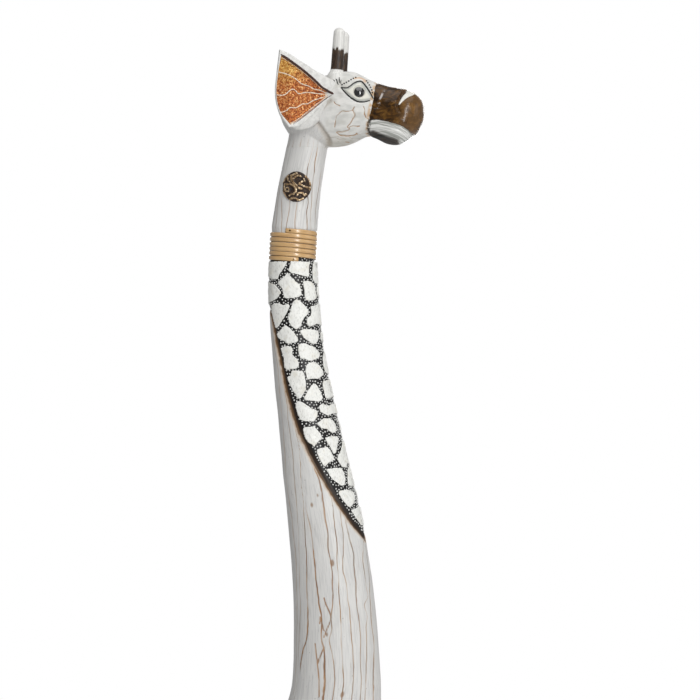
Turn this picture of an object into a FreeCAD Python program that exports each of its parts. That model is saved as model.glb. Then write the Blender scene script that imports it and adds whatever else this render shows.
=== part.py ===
import FreeCAD, Part
import math
import os

# A carved giraffe statue of light wood, about 1.2 m tall, standing on its own four legs.
# Frame: +Z up, floor at z = 0, the giraffe looks along -Y and its left side is +X.
# The shape is drawn in three plain measures: forward of the chest line, to the left, and up.
# At the end everything slides along Y so that the origin is under the middle of the statue.
# Every piece is one node: parts/NODE.step. All sizes are millimetres, all angles degrees.

Vector = FreeCAD.Vector
UP = Vector(0, 0, 1)

# ---- the carved column: neck, chest and back are one flowing shape ----
# up, back edge, front edge, half width, squareness (2 is an ellipse)
COLUMN = [
    (1112, -47.0, -5.0, 21.0, 2.0),
    (1070, -54.7, -10.7, 22.0, 2.0),
    (1030, -64.4, -18.2, 23.0, 2.0),
    (990, -70.4, -21.8, 24.2, 2.0),
    (950, -73.2, -23.2, 25.0, 2.0),
    (910, -73.3, -20.1, 26.2, 2.0),
    (870, -71.0, -16.8, 27.2, 2.0),
    (830, -68.0, -10.0, 28.8, 2.0),
    (790, -63.3, -0.7, 31.0, 2.0),
    (750, -59.8, 8.5, 34.0, 2.0),
    (710, -55.8, 18.8, 37.0, 2.0),
    (670, -51.5, 28.6, 39.8, 2.0),
    (630, -48.1, 35.2, 42.0, 2.0),
    (590, -45.9, 40.4, 44.0, 2.0),
    (550, -45.3, 44.2, 45.8, 2.0),
    (515, -46.4, 46.2, 47.2, 2.0),
    (490, -49.4, 46.8, 48.4, 2.0),
    (465, -60.0, 47.6, 49.6, 2.0),
    (440, -88.0, 48.0, 50.8, 2.1),
    (415, -136.0, 47.6, 52.0, 2.1),
    (392, -174.0, 46.6, 53.0, 2.2),
    (366, -196.0, 45.0, 53.0, 2.3),
    (336, -204.0, 42.0, 52.0, 2.4),
    (300, -206.0, 38.0, 50.0, 2.4),
]
NECK_TOP = 1072.0          # level joint between head block and neck
NECK_FOOT = 478.0          # level joint between neck and torso
LEG_TOP = 270.0            # level joint between torso and legs

# ---- the barrel of the body under it: forward, top, bottom, half width, squareness ----
COLUMN_FOOT = 350.0
BARREL = [
    (-213, 344, 322, 9.0, 2.0),
    (-211, 352, 302, 27.0, 2.0),
    (-204, 360, 284, 41.0, 2.1),
    (-188, 372, 273, 50.0, 2.2),
    (-160, 390, 272, 54.0, 2.3),
    (-125, 400, 278, 55.0, 2.3),
    (-90, 410, 282, 55.0, 2.3),
    (-50, 415, 281, 55.0, 2.3),
    (-15, 415, 276, 54.5, 2.3),
    (14, 410, 272, 52.5, 2.2),
    (33, 402, 278, 44.0, 2.1),
    (43, 394, 294, 31.0, 2.0),
    (47, 380, 318, 12.0, 2.0),
]

# ---- legs: up, back edge, front edge, inner side, outer side ----
FRONT_LEG = [
    (345, -26, 20, 14.0, 40.0),
    (318, -25, 31, 10.0, 48.5),
    (288, -20, 35, 10.0, 52.0),
    (255, -15, 34, 12.0, 52.8),
    (222, -12, 32, 14.0, 52.4),
    (190, -10, 30.5, 16.0, 51.8),
    (160, -9, 31, 17.0, 52.0),
    (138, -8, 33, 17.0, 53.4),
    (114, -6, 31, 18.0, 53.2),
    (85, -4, 27, 20.0, 52.6),
    (55, -3, 27, 20.5, 53.4),
    (34, -5, 30, 19.5, 55.4),
    (16, -8, 38, 17.5, 58.2),
    (0, -10, 44, 16.5, 60.0),
]
REAR_LEG = [
    (345, -186, -142, 14.0, 38.0),
    (318, -198, -140, 9.0, 47.0),
    (288, -206, -144, 9.0, 51.6),
    (255, -207, -151, 11.5, 52.8),
    (222, -205, -156, 14.0, 52.4),
    (190, -204, -160, 16.0, 51.8),
    (160, -205, -163, 17.0, 52.0),
    (138, -204, -164, 17.0, 53.4),
    (114, -198, -161, 18.0, 53.2),
    (85, -192, -158, 20.0, 52.6),
    (55, -189, -156, 20.5, 53.4),
    (34, -191, -154, 19.5, 55.4),
    (16, -195, -147, 17.5, 58.2),
    (0, -198, -141, 16.5, 60.0),
]
LEG_SQUARE = 2.5

# ---- head block: forward, top, bottom, half width, squareness ----
HEAD = [
    (-61, 1119, 1108, 6.0, 2.0),
    (-58, 1126, 1098, 14.0, 2.0),
    (-52, 1132, 1086, 20.0, 2.0),
    (-42, 1138, 1078, 25.0, 2.1),
    (-28, 1144, 1074, 28.5, 2.2),
    (-12, 1149.5, 1073.5, 30.0, 2.3),
    (2, 1152.5, 1073.5, 30.5, 2.4),
    (14, 1154, 1075.5, 30.5, 2.4),
    (24, 1150, 1081, 29.5, 2.5),
    (33, 1145, 1085, 27.5, 2.5),
    (41, 1141, 1082.5, 25.5, 2.5),
    (51, 1138, 1077, 25.5, 2.5),
    (62, 1135.3, 1074, 26.5, 2.5),
    (73, 1133, 1077, 27.5, 2.5),
    (83, 1131, 1084, 25.5, 2.4),
    (90, 1126, 1092, 20.5, 2.3),
    (93.6, 1121, 1100, 13.0, 2.1),
    (94, 1116, 1106, 5.0, 2.0),
]
RING_POINTS = 16

# ---- horns: turned pegs glued on bosses on the crown ----
HORN_FOOT = (1.9, 13.0, 1150.5)     # forward, left, up
HORN_TIP = (5.3, 12.8, 1198.0)
HORN_FOOT_RADIUS = 6.6
HORN_TIP_RADIUS = 6.1
HORN_BOSS_RADIUS = 11.0
HORN_BOSS_DEPTH = 14.0
TENON_RADIUS = 3.8
TENON_LENGTH = 16.0

# ---- ears: shells carved apart and pegged on, drawn along the ear and up from its root ----
EAR_ROOT = (0.7, 27.5, 1126.0)      # forward, left, up
EAR_FLARE = 32.0                    # swing away from straight back
EAR_UPPER_EDGE = [(-2, 13), (7.9, 19.2), (18, 24), (37.7, 34.5), (59.5, 44.9)]
EAR_BACK_EDGE = [(59.5, 44.9), (62.5, 19.3), (64.1, -2.1), (59.1, -22), (51.5, -33.5)]
EAR_LOWER_EDGE = [(51.5, -33.5), (43.6, -38), (32.5, -38.2), (21, -33.5), (10, -22), (-2, -5)]
EAR_THICKNESS = 11.0
EAR_THIN_FROM = 14.0                # along the ear, where the back face starts to slope
EAR_BACK_THICKNESS = 3.2
EAR_SCOOP = [(3, 0.5), (56.5, 36.5), (59.6, 19), (61.2, -2), (56.6, -20), (47, -32.5)]
EAR_SCOOP_DEPTH = 2.6
EAR_PEG_RADIUS = 3.0
EAR_PEG_LENGTH = 24.0
EAR_PEG_PLACE = (7.0, -4.0)         # along the ear, up

# ---- eyes: domed black cabochons set into the head ----
EYE_SIGHT = (39.8, 70.0, 1138.6)    # a point straight out from the eye
EYE_RADIUS = 5.3
EYE_DOME = 1.8
EYE_DEPTH = 5.0

# ---- cane binding: one split cane strand wound on a turned seat, with a brad at each end ----
SEAT_RADIUS = 23.4
SEAT_HEIGHT = 35.4
SEAT_FOOT = (-48.2, 951.2)          # forward, up
SEAT_HEAD = (-46.4, 986.6)
CANE_WIDTH = 4.9
CANE_EDGE = 1.2
CANE_CROWN = 2.2
CANE_PITCH = 4.97
CANE_TURNS = 6.1
CANE_FOOT_ANGLE = 206.0             # about +Z from +X, where the strand's lower end lies
BRAD_HEAD_RADIUS = 0.95
BRAD_HEAD_HEIGHT = 0.8
BRAD_SHANK_RADIUS = 0.5
BRAD_LENGTH = 9.0
BRAD_SETBACK = 12.0                 # degrees from each end of the strand

# ---- roundels: thin carved discs bent to the neck, one on each flank ----
ROUNDEL_PLACE = (-39.6, 1030.2)     # forward, up
ROUNDEL_HALF_WIDTH = 14.5           # as seen from the side
ROUNDEL_HALF_HEIGHT = 16.1
ROUNDEL_THICKNESS = 1.8

# ---- mosaic: white chips bedded on the throat and chest below the binding ----
PANEL_TOP = 951.0
PANEL_FOOT = 640.0
CHIP_THICKNESS = 1.3
CHIP_SEAM = 2.4                     # gap between the chips of the two flanks
CHIP_SEAM_SWAY = 4.5                # the seam wanders this far either side of the middle
CHIP_SEAM_WAVE = 46.0
SMALLEST_CHIP = 25.0                # cubic millimetres
# The right flank's chips, each as corners: degrees round from the nape, and up.
CHIPS = [
    [(-9, 955), (81, 954), (89, 951), (79, 943), (68, 938), (63, 933), (45, 933), (-9, 938)],
    [(97, 954), (129, 955), (149, 954), (145, 947), (141, 936), (130, 936), (111, 938), (97, 939),
     (90, 942), (97, 949)],
    [(162, 956), (193, 957), (193, 928), (162, 929), (153, 933), (154, 943)],
    [(88, 940), (96, 936), (106, 931), (116, 927), (119, 922), (120, 916), (112, 914), (100, 913),
     (86, 912), (80, 913), (76, 919), (75, 923), (66, 927), (64, 930), (80, 935)],
    [(-9, 931), (38, 929), (53, 927), (64, 923), (70, 920), (71, 918), (62, 913), (44, 910), (-9, 907)],
    [(124, 930), (136, 931), (149, 930), (159, 926), (162, 919), (165, 914), (153, 911), (135, 910),
     (129, 911), (127, 915), (127, 921)],
    [(193, 925), (193, 912), (172, 913), (168, 920), (171, 925)],
    [(37, 905), (52, 907), (64, 907), (78, 905), (89, 906), (91, 904), (82, 896), (71, 889), (62, 884),
     (54, 881), (49, 883), (39, 897)],
    [(98, 908), (106, 911), (114, 910), (123, 906), (134, 901), (134, 897), (122, 892), (115, 887),
     (112, 883), (103, 880), (96, 881), (86, 887), (86, 893), (92, 898), (95, 904)],
    [(141, 904), (153, 905), (167, 907), (193, 907), (193, 884), (155, 886), (143, 884), (133, 883),
     (128, 885), (129, 891), (140, 895), (142, 899)],
    [(80, 884), (86, 882), (97, 876), (105, 871), (105, 867), (90, 865), (82, 865), (75, 867),
     (64, 869), (57, 871), (54, 875), (63, 878), (72, 882)],
    [(109, 878), (118, 880), (132, 880), (149, 879), (160, 878), (160, 873), (154, 868), (145, 865),
     (134, 865), (117, 871)],
    [(193, 878), (193, 865), (166, 868), (169, 876)],
    [(62, 860), (74, 862), (84, 862), (90, 860), (88, 854), (93, 850), (98, 848), (100, 842),
     (95, 839), (83, 838), (72, 837), (68, 840), (68, 849), (64, 856)],
    [(103, 864), (117, 865), (128, 863), (140, 861), (151, 857), (155, 853), (150, 850), (130, 847),
     (121, 847), (115, 849), (105, 849), (103, 853), (102, 858)],
    [(172, 855), (193, 858), (193, 831), (165, 834), (161, 842), (163, 850)],
    [(115, 841), (120, 844), (127, 845), (137, 845), (146, 842), (155, 836), (156, 832), (147, 830),
     (139, 828), (121, 828), (115, 827), (112, 830), (112, 836)],
    [(84, 836), (99, 836), (106, 836), (109, 833), (109, 825), (107, 817), (97, 809), (91, 807),
     (87, 808), (80, 816), (73, 825), (71, 829), (79, 831)],
    [(125, 823), (130, 822), (136, 816), (140, 808), (135, 805), (127, 804), (111, 805), (101, 806),
     (100, 808), (109, 815), (119, 820)],
    [(150, 825), (163, 826), (193, 827), (193, 809), (162, 808), (152, 807), (146, 808), (146, 815),
     (146, 820)],
    [(82, 801), (86, 804), (91, 804), (101, 801), (110, 797), (119, 795), (122, 793), (120, 788),
     (111, 783), (102, 783), (91, 784), (86, 785), (83, 791), (80, 797)],
    [(127, 799), (133, 801), (142, 800), (152, 799), (162, 801), (193, 801), (193, 791), (157, 791),
     (143, 789), (134, 791), (127, 793)],
    [(116, 781), (122, 783), (131, 786), (146, 786), (154, 783), (160, 780), (161, 775), (155, 772),
     (146, 771), (134, 775), (123, 776)],
    [(193, 785), (193, 772), (169, 774), (170, 780)],
    [(89, 775), (92, 777), (101, 777), (110, 778), (116, 773), (120, 770), (122, 765), (115, 763),
     (109, 760), (104, 757), (95, 762), (90, 767)],
    [(127, 766), (136, 767), (156, 767), (159, 764), (151, 757), (143, 750), (138, 749), (134, 757),
     (129, 762)],
    [(174, 761), (193, 761), (193, 739), (170, 738), (163, 734), (151, 735), (144, 743), (147, 747),
     (159, 752)],
    [(108, 753), (114, 755), (128, 756), (132, 753), (138, 743), (134, 742), (125, 740), (117, 736),
     (115, 737), (111, 742), (108, 750)],
    [(118, 733), (124, 734), (138, 734), (148, 734), (152, 729), (152, 722), (146, 716), (139, 716),
     (128, 721), (122, 726)],
    [(166, 731), (178, 735), (193, 736), (193, 713), (161, 715), (155, 717)],
    [(133, 710), (140, 711), (152, 711), (167, 708), (171, 703), (162, 697), (148, 693), (144, 694),
     (136, 701), (131, 708)],
    [(149, 690), (161, 691), (182, 693), (193, 694), (193, 672), (169, 673), (157, 681)],
    [(193, 711), (193, 696), (189, 697), (192, 705)],
]

# ---- hidden joinery and tail ----
HEAD_DOWEL = (-34.0, 8.0, 72.0)     # forward, radius, length
NECK_DOWEL = (-2.0, 14.0, 110.0)
LEG_DOWELS = [(9.0, 32.0), (-179.0, 32.0)]   # forward, left
LEG_DOWEL_RADIUS = 6.0
LEG_DOWEL_LENGTH = 60.0
TAIL = [(-168, 386, 7.0), (-190, 385, 7.0), (-206, 376, 6.4), (-217, 358, 5.6), (-222, 332, 5.0),
        (-223, 304, 4.8), (-222, 284, 6.4), (-221, 268, 8.4), (-220, 250, 6.0), (-219, 238, 2.0)]
TAIL_PEG_RADIUS = 3.0
TAIL_PEG_LENGTH = 30.0


def place(forward, left, up):
    return Vector(left, -forward, up)


def skin(rings):
    """A solid with one smooth skin over closed rings of points and a flat cap at each end."""
    around, rows = len(rings[0]), len(rings)
    surface = Part.BSplineSurface()
    surface.buildFromPolesMultsKnots(
        [list(line) for line in zip(*rings)],
        [1] * (around + 1), [4] + [1] * (rows - 4) + [4],
        list(range(around + 1)), list(range(rows - 2)), True, False, 3, 3)
    ends = [Part.Face(Part.Wire(surface.vIso(v).toShape())) for v in (0, rows - 3)]
    shell = Part.Shell([surface.toShape()] + ends)
    shell.sewShape()
    solid = Part.Solid(shell)
    if solid.Volume < 0:
        solid.reverse()
    return solid


def ring(middle, across, along, half_across, half_along, square):
    """Points around a rounded section; they sit a little outside the skin they pull."""
    pull = 3.0 / (2.0 + math.cos(2.0 * math.pi / RING_POINTS))
    points = []
    for step in range(RING_POINTS):
        turn = 2.0 * math.pi * step / RING_POINTS
        c, s = math.cos(turn), math.sin(turn)
        a = math.copysign(abs(c) ** (2.0 / square), c) * half_across * pull
        b = math.copysign(abs(s) ** (2.0 / square), s) * half_along * pull
        points.append(middle + across * a + along * b)
    return points


def carved_column(grow):
    rings = []
    for up, back, front, half_width, square in COLUMN:
        middle = place((back + front) / 2, 0, up)
        rings.append(ring(middle, Vector(1, 0, 0), Vector(0, -1, 0),
                          half_width + grow, (front - back) / 2 + grow, square))
    return skin(rings)


def lengthwise(sections):
    """A block drawn in upright sections from rear to front."""
    rings = []
    for forward, top, bottom, half_width, square in sections:
        middle = place(forward, 0, (top + bottom) / 2)
        rings.append(ring(middle, Vector(1, 0, 0), UP, half_width, (top - bottom) / 2, square))
    return skin(rings)


def left_leg(sections):
    rings = []
    for up, back, front, inner, outer in sections:
        middle = place((back + front) / 2, (inner + outer) / 2, up)
        rings.append(ring(middle, Vector(1, 0, 0), Vector(0, -1, 0),
                          (outer - inner) / 2, (front - back) / 2, LEG_SQUARE))
    return skin(rings)


def level_slab(low, high):
    return Part.makeBox(400, 600, high - low, Vector(-200, -200, low))


def peg(middle, direction, radius, length):
    return Part.makeCylinder(radius, length, middle - direction * (length / 2), direction)


def nearest_on(shape, point):
    """The spot of the shape nearest to a point outside it, and the outward direction there."""
    spot = shape.distToShape(Part.Vertex(point))[1][0][0]
    return spot, (point - spot).normalize()


def mirrored(shape):
    return shape.mirror(Vector(0, 0, 0), Vector(1, 0, 0))


# ---- the column: neck, torso, four legs ----
column = carved_column(0.0)
neck = column.common(level_slab(NECK_FOOT, NECK_TOP))
torso = lengthwise(BARREL).fuse(column.common(level_slab(COLUMN_FOOT, NECK_FOOT)))
legs = {}
for end, sections in (("front", FRONT_LEG), ("rear", REAR_LEG)):
    whole = left_leg(sections)
    thigh = whole.common(level_slab(LEG_TOP, 400))
    torso = torso.fuse(thigh).fuse(mirrored(thigh))
    shank = whole.common(level_slab(-1, LEG_TOP))
    legs[end + "_left"] = shank
    legs[end + "_right"] = mirrored(shank)

head_forward, head_radius, head_length = HEAD_DOWEL
head_dowel = peg(place(head_forward, 0, NECK_TOP), UP, head_radius, head_length)
neck_forward, neck_radius, neck_length = NECK_DOWEL
neck_torso_dowel = peg(place(neck_forward, 0, NECK_FOOT), UP, neck_radius, neck_length)
leg_pegs = [peg(place(forward, side * left, LEG_TOP), UP, LEG_DOWEL_RADIUS, LEG_DOWEL_LENGTH)
            for forward, left in LEG_DOWELS for side in (-1, 1)]
neck = neck.cut(head_dowel).cut(neck_torso_dowel)
torso = torso.cut(neck_torso_dowel)
for leg_peg in leg_pegs:
    torso = torso.cut(leg_peg)
    legs = {name: leg.cut(leg_peg) for name, leg in legs.items()}

# ---- head, horn bosses ----
head = lengthwise(HEAD).fuse(column.common(level_slab(NECK_TOP, 1200)))
horn_foot, horn_tip = place(*HORN_FOOT), place(*HORN_TIP)
horn_up = (horn_tip - horn_foot).normalize()
boss = Part.makeCone(HORN_BOSS_RADIUS, HORN_FOOT_RADIUS, HORN_BOSS_DEPTH,
                     horn_foot - horn_up * HORN_BOSS_DEPTH, horn_up)
head = head.fuse(boss).fuse(mirrored(boss))

# ---- horns: straight pegs with a rounded tip and a tenon below ----
horn_length = (horn_tip - horn_foot).Length
round_tip = HORN_TIP_RADIUS
tip_arc = round_tip * math.sqrt(0.5)
horn_outline = [
    Part.makeLine(Vector(0, 0, -TENON_LENGTH), Vector(TENON_RADIUS, 0, -TENON_LENGTH)),
    Part.makeLine(Vector(TENON_RADIUS, 0, -TENON_LENGTH), Vector(TENON_RADIUS, 0, 0)),
    Part.makeLine(Vector(TENON_RADIUS, 0, 0), Vector(HORN_FOOT_RADIUS, 0, 0)),
    Part.makeLine(Vector(HORN_FOOT_RADIUS, 0, 0), Vector(round_tip, 0, horn_length - round_tip)),
    Part.Arc(Vector(round_tip, 0, horn_length - round_tip),
             Vector(tip_arc, 0, horn_length - round_tip + tip_arc),
             Vector(0, 0, horn_length)).toShape(),
    Part.makeLine(Vector(0, 0, horn_length), Vector(0, 0, -TENON_LENGTH)),
]
horn = Part.Face(Part.Wire(horn_outline)).revolve(Vector(0, 0, 0), UP, 360)
horn.Placement = FreeCAD.Placement(horn_foot, FreeCAD.Rotation(UP, horn_up))
tenon = Part.makeCylinder(TENON_RADIUS, TENON_LENGTH, horn_foot - horn_up * TENON_LENGTH, horn_up)
head = head.cut(tenon).cut(mirrored(tenon))

# ---- ears ----
flare = math.radians(EAR_FLARE)
ear_along = Vector(math.sin(flare), math.cos(flare), 0)
ear_out = Vector(math.cos(flare), -math.sin(flare), 0)
ear_root = place(*EAR_ROOT)


def on_ear(along, up):
    return ear_root + ear_along * along + UP * up


ear_edges = []
for edge in (EAR_UPPER_EDGE, EAR_BACK_EDGE, EAR_LOWER_EDGE):
    curve = Part.BSplineCurve()
    curve.interpolate([on_ear(*point) for point in edge])
    ear_edges.append(curve.toShape())
ear_edges.append(Part.makeLine(on_ear(*EAR_LOWER_EDGE[-1]), on_ear(*EAR_UPPER_EDGE[0])))
ear_blank = Part.Face(Part.Wire(ear_edges)).extrude(ear_out * -EAR_THICKNESS)
thin_corners = [ear_root + ear_along * along - ear_out * depth - UP * 80
                for along, depth in ((EAR_THIN_FROM, EAR_THICKNESS), (66.0, EAR_BACK_THICKNESS),
                                     (80.0, EAR_BACK_THICKNESS), (80.0, EAR_THICKNESS + 5),
                                     (EAR_THIN_FROM, EAR_THICKNESS + 5))]
thinning = Part.Face(Part.makePolygon(thin_corners + thin_corners[:1])).extrude(UP * 160)
scoop_corners = [on_ear(*point) for point in EAR_SCOOP]
scoop = Part.Face(Part.makePolygon(scoop_corners + scoop_corners[:1]))
scoop = scoop.extrude(ear_out * -EAR_SCOOP_DEPTH)
peg_along, peg_up = EAR_PEG_PLACE
ear_peg = peg(on_ear(peg_along, peg_up) - ear_out * (EAR_THICKNESS + 3), ear_out,
              EAR_PEG_RADIUS, EAR_PEG_LENGTH - EAR_THICKNESS)
ear = ear_blank.cut(thinning).cut(scoop).cut(head).cut(ear_peg)
head = head.cut(ear_peg).cut(mirrored(ear_peg))

# ---- eyes ----
eye_spot, eye_out = nearest_on(head, place(*EYE_SIGHT))
eye_bed = eye_spot - eye_out * EYE_DEPTH
dome_radius = (EYE_RADIUS ** 2 + EYE_DOME ** 2) / (2 * EYE_DOME)
eye = Part.makeCylinder(EYE_RADIUS, EYE_DEPTH + EYE_DOME, eye_bed, eye_out)
eye = eye.common(Part.makeSphere(dome_radius, eye_spot + eye_out * (EYE_DOME - dome_radius)))
socket = Part.makeCylinder(EYE_RADIUS, EYE_DEPTH * 3, eye_bed, eye_out)
head = head.cut(socket).cut(mirrored(socket)).cut(head_dowel)

# ---- cane binding and its brads ----
seat_axis = (place(SEAT_HEAD[0], 0, SEAT_HEAD[1]) - place(SEAT_FOOT[0], 0, SEAT_FOOT[1])).normalize()
seat_frame = FreeCAD.Placement(place(SEAT_FOOT[0], 0, SEAT_FOOT[1]),
                               FreeCAD.Rotation(UP, seat_axis))
seat_ring = Part.makeCylinder(60, SEAT_HEIGHT).cut(Part.makeCylinder(SEAT_RADIUS, SEAT_HEIGHT))
seat_ring.Placement = seat_frame
neck = neck.cut(seat_ring)
half = CANE_WIDTH / 2
inner, rim, crown = SEAT_RADIUS, SEAT_RADIUS + CANE_EDGE, SEAT_RADIUS + CANE_CROWN
cane_section = Part.Wire([
    Part.makeLine(Vector(rim, 0, -half), Vector(inner, 0, -half)),
    Part.makeLine(Vector(inner, 0, -half), Vector(inner, 0, half)),
    Part.makeLine(Vector(inner, 0, half), Vector(rim, 0, half)),
    Part.Arc(Vector(rim, 0, half), Vector(crown, 0, 0), Vector(rim, 0, -half)).toShape(),
])
spine = Part.makeHelix(CANE_PITCH, CANE_PITCH * CANE_TURNS, SEAT_RADIUS, 0, True)
cane = Part.Wire(spine.Edges).makePipeShell([cane_section], True, True)
cane.rotate(Vector(0, 0, 0), UP, CANE_FOOT_ANGLE)
cane.translate(UP * (half + 0.1))
cane.Placement = seat_frame.multiply(cane.Placement)
brads = []
for turn, rise in ((BRAD_SETBACK, 0.0), (360 * CANE_TURNS - BRAD_SETBACK, CANE_PITCH * CANE_TURNS)):
    angle = math.radians(CANE_FOOT_ANGLE - turn)
    outward = Vector(math.cos(angle), math.sin(angle), 0)
    level = UP * (half + 0.1 + rise)
    brad = Part.makeCylinder(BRAD_HEAD_RADIUS, BRAD_HEAD_HEIGHT, level + outward * (crown - 0.3), outward)
    brad = brad.fuse(Part.makeCylinder(BRAD_SHANK_RADIUS, BRAD_LENGTH,
                                       level + outward * (crown - BRAD_LENGTH), outward))
    brad.Placement = seat_frame
    cane = cane.cut(brad)
    neck = neck.cut(brad)
    brads.append(brad)

# ---- roundels ----
roundel_out = Vector(1, 0, 0)
roundel_spot = place(ROUNDEL_PLACE[0], 0, ROUNDEL_PLACE[1])
roundel_edge = Part.Ellipse(roundel_spot + UP * ROUNDEL_HALF_HEIGHT,
                            roundel_spot + Vector(0, ROUNDEL_HALF_WIDTH, 0), roundel_spot)
roundel = Part.Face(Part.Wire(roundel_edge.toShape())).extrude(roundel_out * 60)
roundel = roundel.common(carved_column(ROUNDEL_THICKNESS)).cut(column)


# ---- mosaic chips ----
def neck_section(up):
    """Forward place of the neck's middle, its half depth and its half width at a height."""
    for (up_a, *sizes_a), (up_b, *sizes_b) in zip(COLUMN, COLUMN[1:]):
        if up >= up_b:
            share = (up_a - up) / (up_a - up_b)
            back, front, wide = [a + (b - a) * share for a, b in zip(sizes_a[:3], sizes_b[:3])]
            return (back + front) / 2, (front - back) / 2, wide
    return None


def on_neck(turn, up):
    """A spot on the neck's right flank: degrees round from the nape, and up."""
    middle, half_depth, half_width = neck_section(up)
    angle = math.radians(turn)
    return place(middle - half_depth * math.cos(angle), -half_width * math.sin(angle), up)


def chip_block(outline):
    """A block over one chip's outline, standing square to the neck at the chip's middle."""
    angle = math.radians(sum(turn for turn, up in outline) / len(outline))
    outward = Vector(-math.sin(angle), math.cos(angle), 0)
    corners = [on_neck(turn, up) for turn, up in outline]
    depths = [corner.dot(outward) for corner in corners]
    base = min(depths) - 5
    corners = [corner + outward * (base - depth) for corner, depth in zip(corners, depths)]
    return Part.Face(Part.makePolygon(corners + corners[:1])).extrude(outward * (max(depths) - base + 8))


def seam_side():
    """Everything to the right of the wandering seam between the two flanks' chips."""
    edge = []
    for up in range(int(PANEL_FOOT) - 10, int(PANEL_TOP) + 20, 8):
        sway = CHIP_SEAM_SWAY * math.sin(up / CHIP_SEAM_WAVE * 2 * math.pi)
        edge.append(Vector(sway, -200, up))
    corners = edge + [Vector(-90, -200, edge[-1].z), Vector(-90, -200, edge[0].z)]
    return Part.Face(Part.makePolygon(corners + corners[:1])).extrude(Vector(0, 400, 0))


chip_skin = carved_column(CHIP_THICKNESS).common(level_slab(PANEL_FOOT, PANEL_TOP)).cut(column)
right_side = seam_side()
left_side = Part.makeBox(180, 400, 400, Vector(-90, -200, PANEL_FOOT - 20)).cut(right_side)
right_side.translate(Vector(-CHIP_SEAM / 2, 0, 0))
left_side.translate(Vector(CHIP_SEAM / 2, 0, 0))
chips = []
for outline in CHIPS:
    block = chip_block(outline)
    for flank, side in ((block, right_side), (mirrored(block), left_side)):
        chips.extend(solid for solid in flank.common(chip_skin).common(side).Solids
                     if solid.Volume > SMALLEST_CHIP)

# ---- tail ----
tail_points = [place(forward, 0, up) for forward, up, radius in TAIL]
tail_rings = []
for index, (forward, up, radius) in enumerate(TAIL):
    ahead = tail_points[min(index + 1, len(TAIL) - 1)] - tail_points[max(index - 1, 0)]
    side = Vector(1, 0, 0)
    tail_rings.append(ring(tail_points[index], side, ahead.normalize().cross(side), radius, radius, 2))
tail = skin(tail_rings).cut(torso)
tail = max(tail.Solids, key=lambda solid: solid.Volume)
tail_way = (tail_points[0] - tail_points[2]).normalize()
tail_peg = peg(tail_points[1] + tail_way * 8, tail_way, TAIL_PEG_RADIUS, TAIL_PEG_LENGTH)
tail = tail.cut(tail_peg)
torso = torso.cut(tail_peg)

# ---- every node, slid to its place over the origin, and written ----
nodes = {
    "neck": neck,
    "torso": torso,
    "head": head,
    "ear_left": ear,
    "ear_right": mirrored(ear),
    "ear_pegs": Part.makeCompound([ear_peg, mirrored(ear_peg)]),
    "horn_left": horn,
    "horn_right": mirrored(horn),
    "eye_left": eye,
    "eye_right": mirrored(eye),
    "cane_binding": cane,
    "binding_brads": Part.makeCompound(brads),
    "roundel_left": roundel,
    "roundel_right": mirrored(roundel),
    "mosaic_chips": Part.makeCompound(chips),
    "head_dowel": head_dowel,
    "neck_torso_dowel": neck_torso_dowel,
    "leg_dowels": Part.makeCompound(leg_pegs),
    "tail": tail,
    "tail_peg": tail_peg,
}
nodes.update({"leg_" + name: leg for name, leg in legs.items()})

front = HEAD[-1][0]
back = TAIL[5][0] - TAIL[7][2]
shift = Vector(0, (front + back) / 2, 0)
os.makedirs("parts", exist_ok=True)
for name, shape in nodes.items():
    moved = shape.copy()
    moved.translate(shift)
    moved.exportStep("parts/" + name + ".step")
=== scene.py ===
import itertools
import math
import bmesh
import bpy
import numpy as np
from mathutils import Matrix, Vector
from mathutils.bvhtree import BVHTree


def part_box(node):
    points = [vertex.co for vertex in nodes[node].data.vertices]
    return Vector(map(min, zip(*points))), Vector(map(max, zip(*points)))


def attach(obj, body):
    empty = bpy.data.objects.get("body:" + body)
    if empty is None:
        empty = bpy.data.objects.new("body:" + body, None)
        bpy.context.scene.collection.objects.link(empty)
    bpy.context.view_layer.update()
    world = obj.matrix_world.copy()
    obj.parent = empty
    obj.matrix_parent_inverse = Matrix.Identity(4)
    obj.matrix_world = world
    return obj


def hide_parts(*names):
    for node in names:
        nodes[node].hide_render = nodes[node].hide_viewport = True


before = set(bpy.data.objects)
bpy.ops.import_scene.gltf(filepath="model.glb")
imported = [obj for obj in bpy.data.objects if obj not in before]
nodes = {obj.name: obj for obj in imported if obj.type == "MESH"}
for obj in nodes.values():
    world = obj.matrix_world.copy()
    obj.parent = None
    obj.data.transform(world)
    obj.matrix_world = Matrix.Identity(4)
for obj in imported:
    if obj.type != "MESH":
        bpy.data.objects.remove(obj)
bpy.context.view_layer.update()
MM = 0.001

# The statue is described in millimetres: forward of the chest line, to the left, and up.
SNOUT = 94.0
SLIDE = -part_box("head")[0][1] / MM - SNOUT


def place(forward, left, up):
    return Vector((left * MM, -(forward + SLIDE) * MM, up * MM))


def measures(points):
    """Forward, left and up of points given in metres."""
    points = np.asarray(points)
    return -points[:, 1] / MM - SLIDE, points[:, 0] / MM, points[:, 2] / MM


def fade(value, low, high):
    t = np.clip((value - low) / (high - low), 0, 1)
    return t * t * (3 - 2 * t)


def bump(value, middle, half):
    return np.exp(-((value - middle) / half) ** 2)


# ---- noise on arrays of points ----
def lattice(cells, seed):
    x, y, z = (cells[:, k].astype(np.uint64) for k in range(3))
    h = x * np.uint64(73856093) ^ y * np.uint64(19349663) ^ z * np.uint64(83492791)
    h = (h + np.uint64(seed * 7919 + 17)) * np.uint64(2654435761) & np.uint64(0xFFFFFFFF)
    h = (h ^ (h >> np.uint64(15))) * np.uint64(2246822519) & np.uint64(0xFFFFFFFF)
    h = h ^ (h >> np.uint64(13))
    return (h & np.uint64(0xFFFF)).astype(float) / 32767.5 - 1


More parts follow.
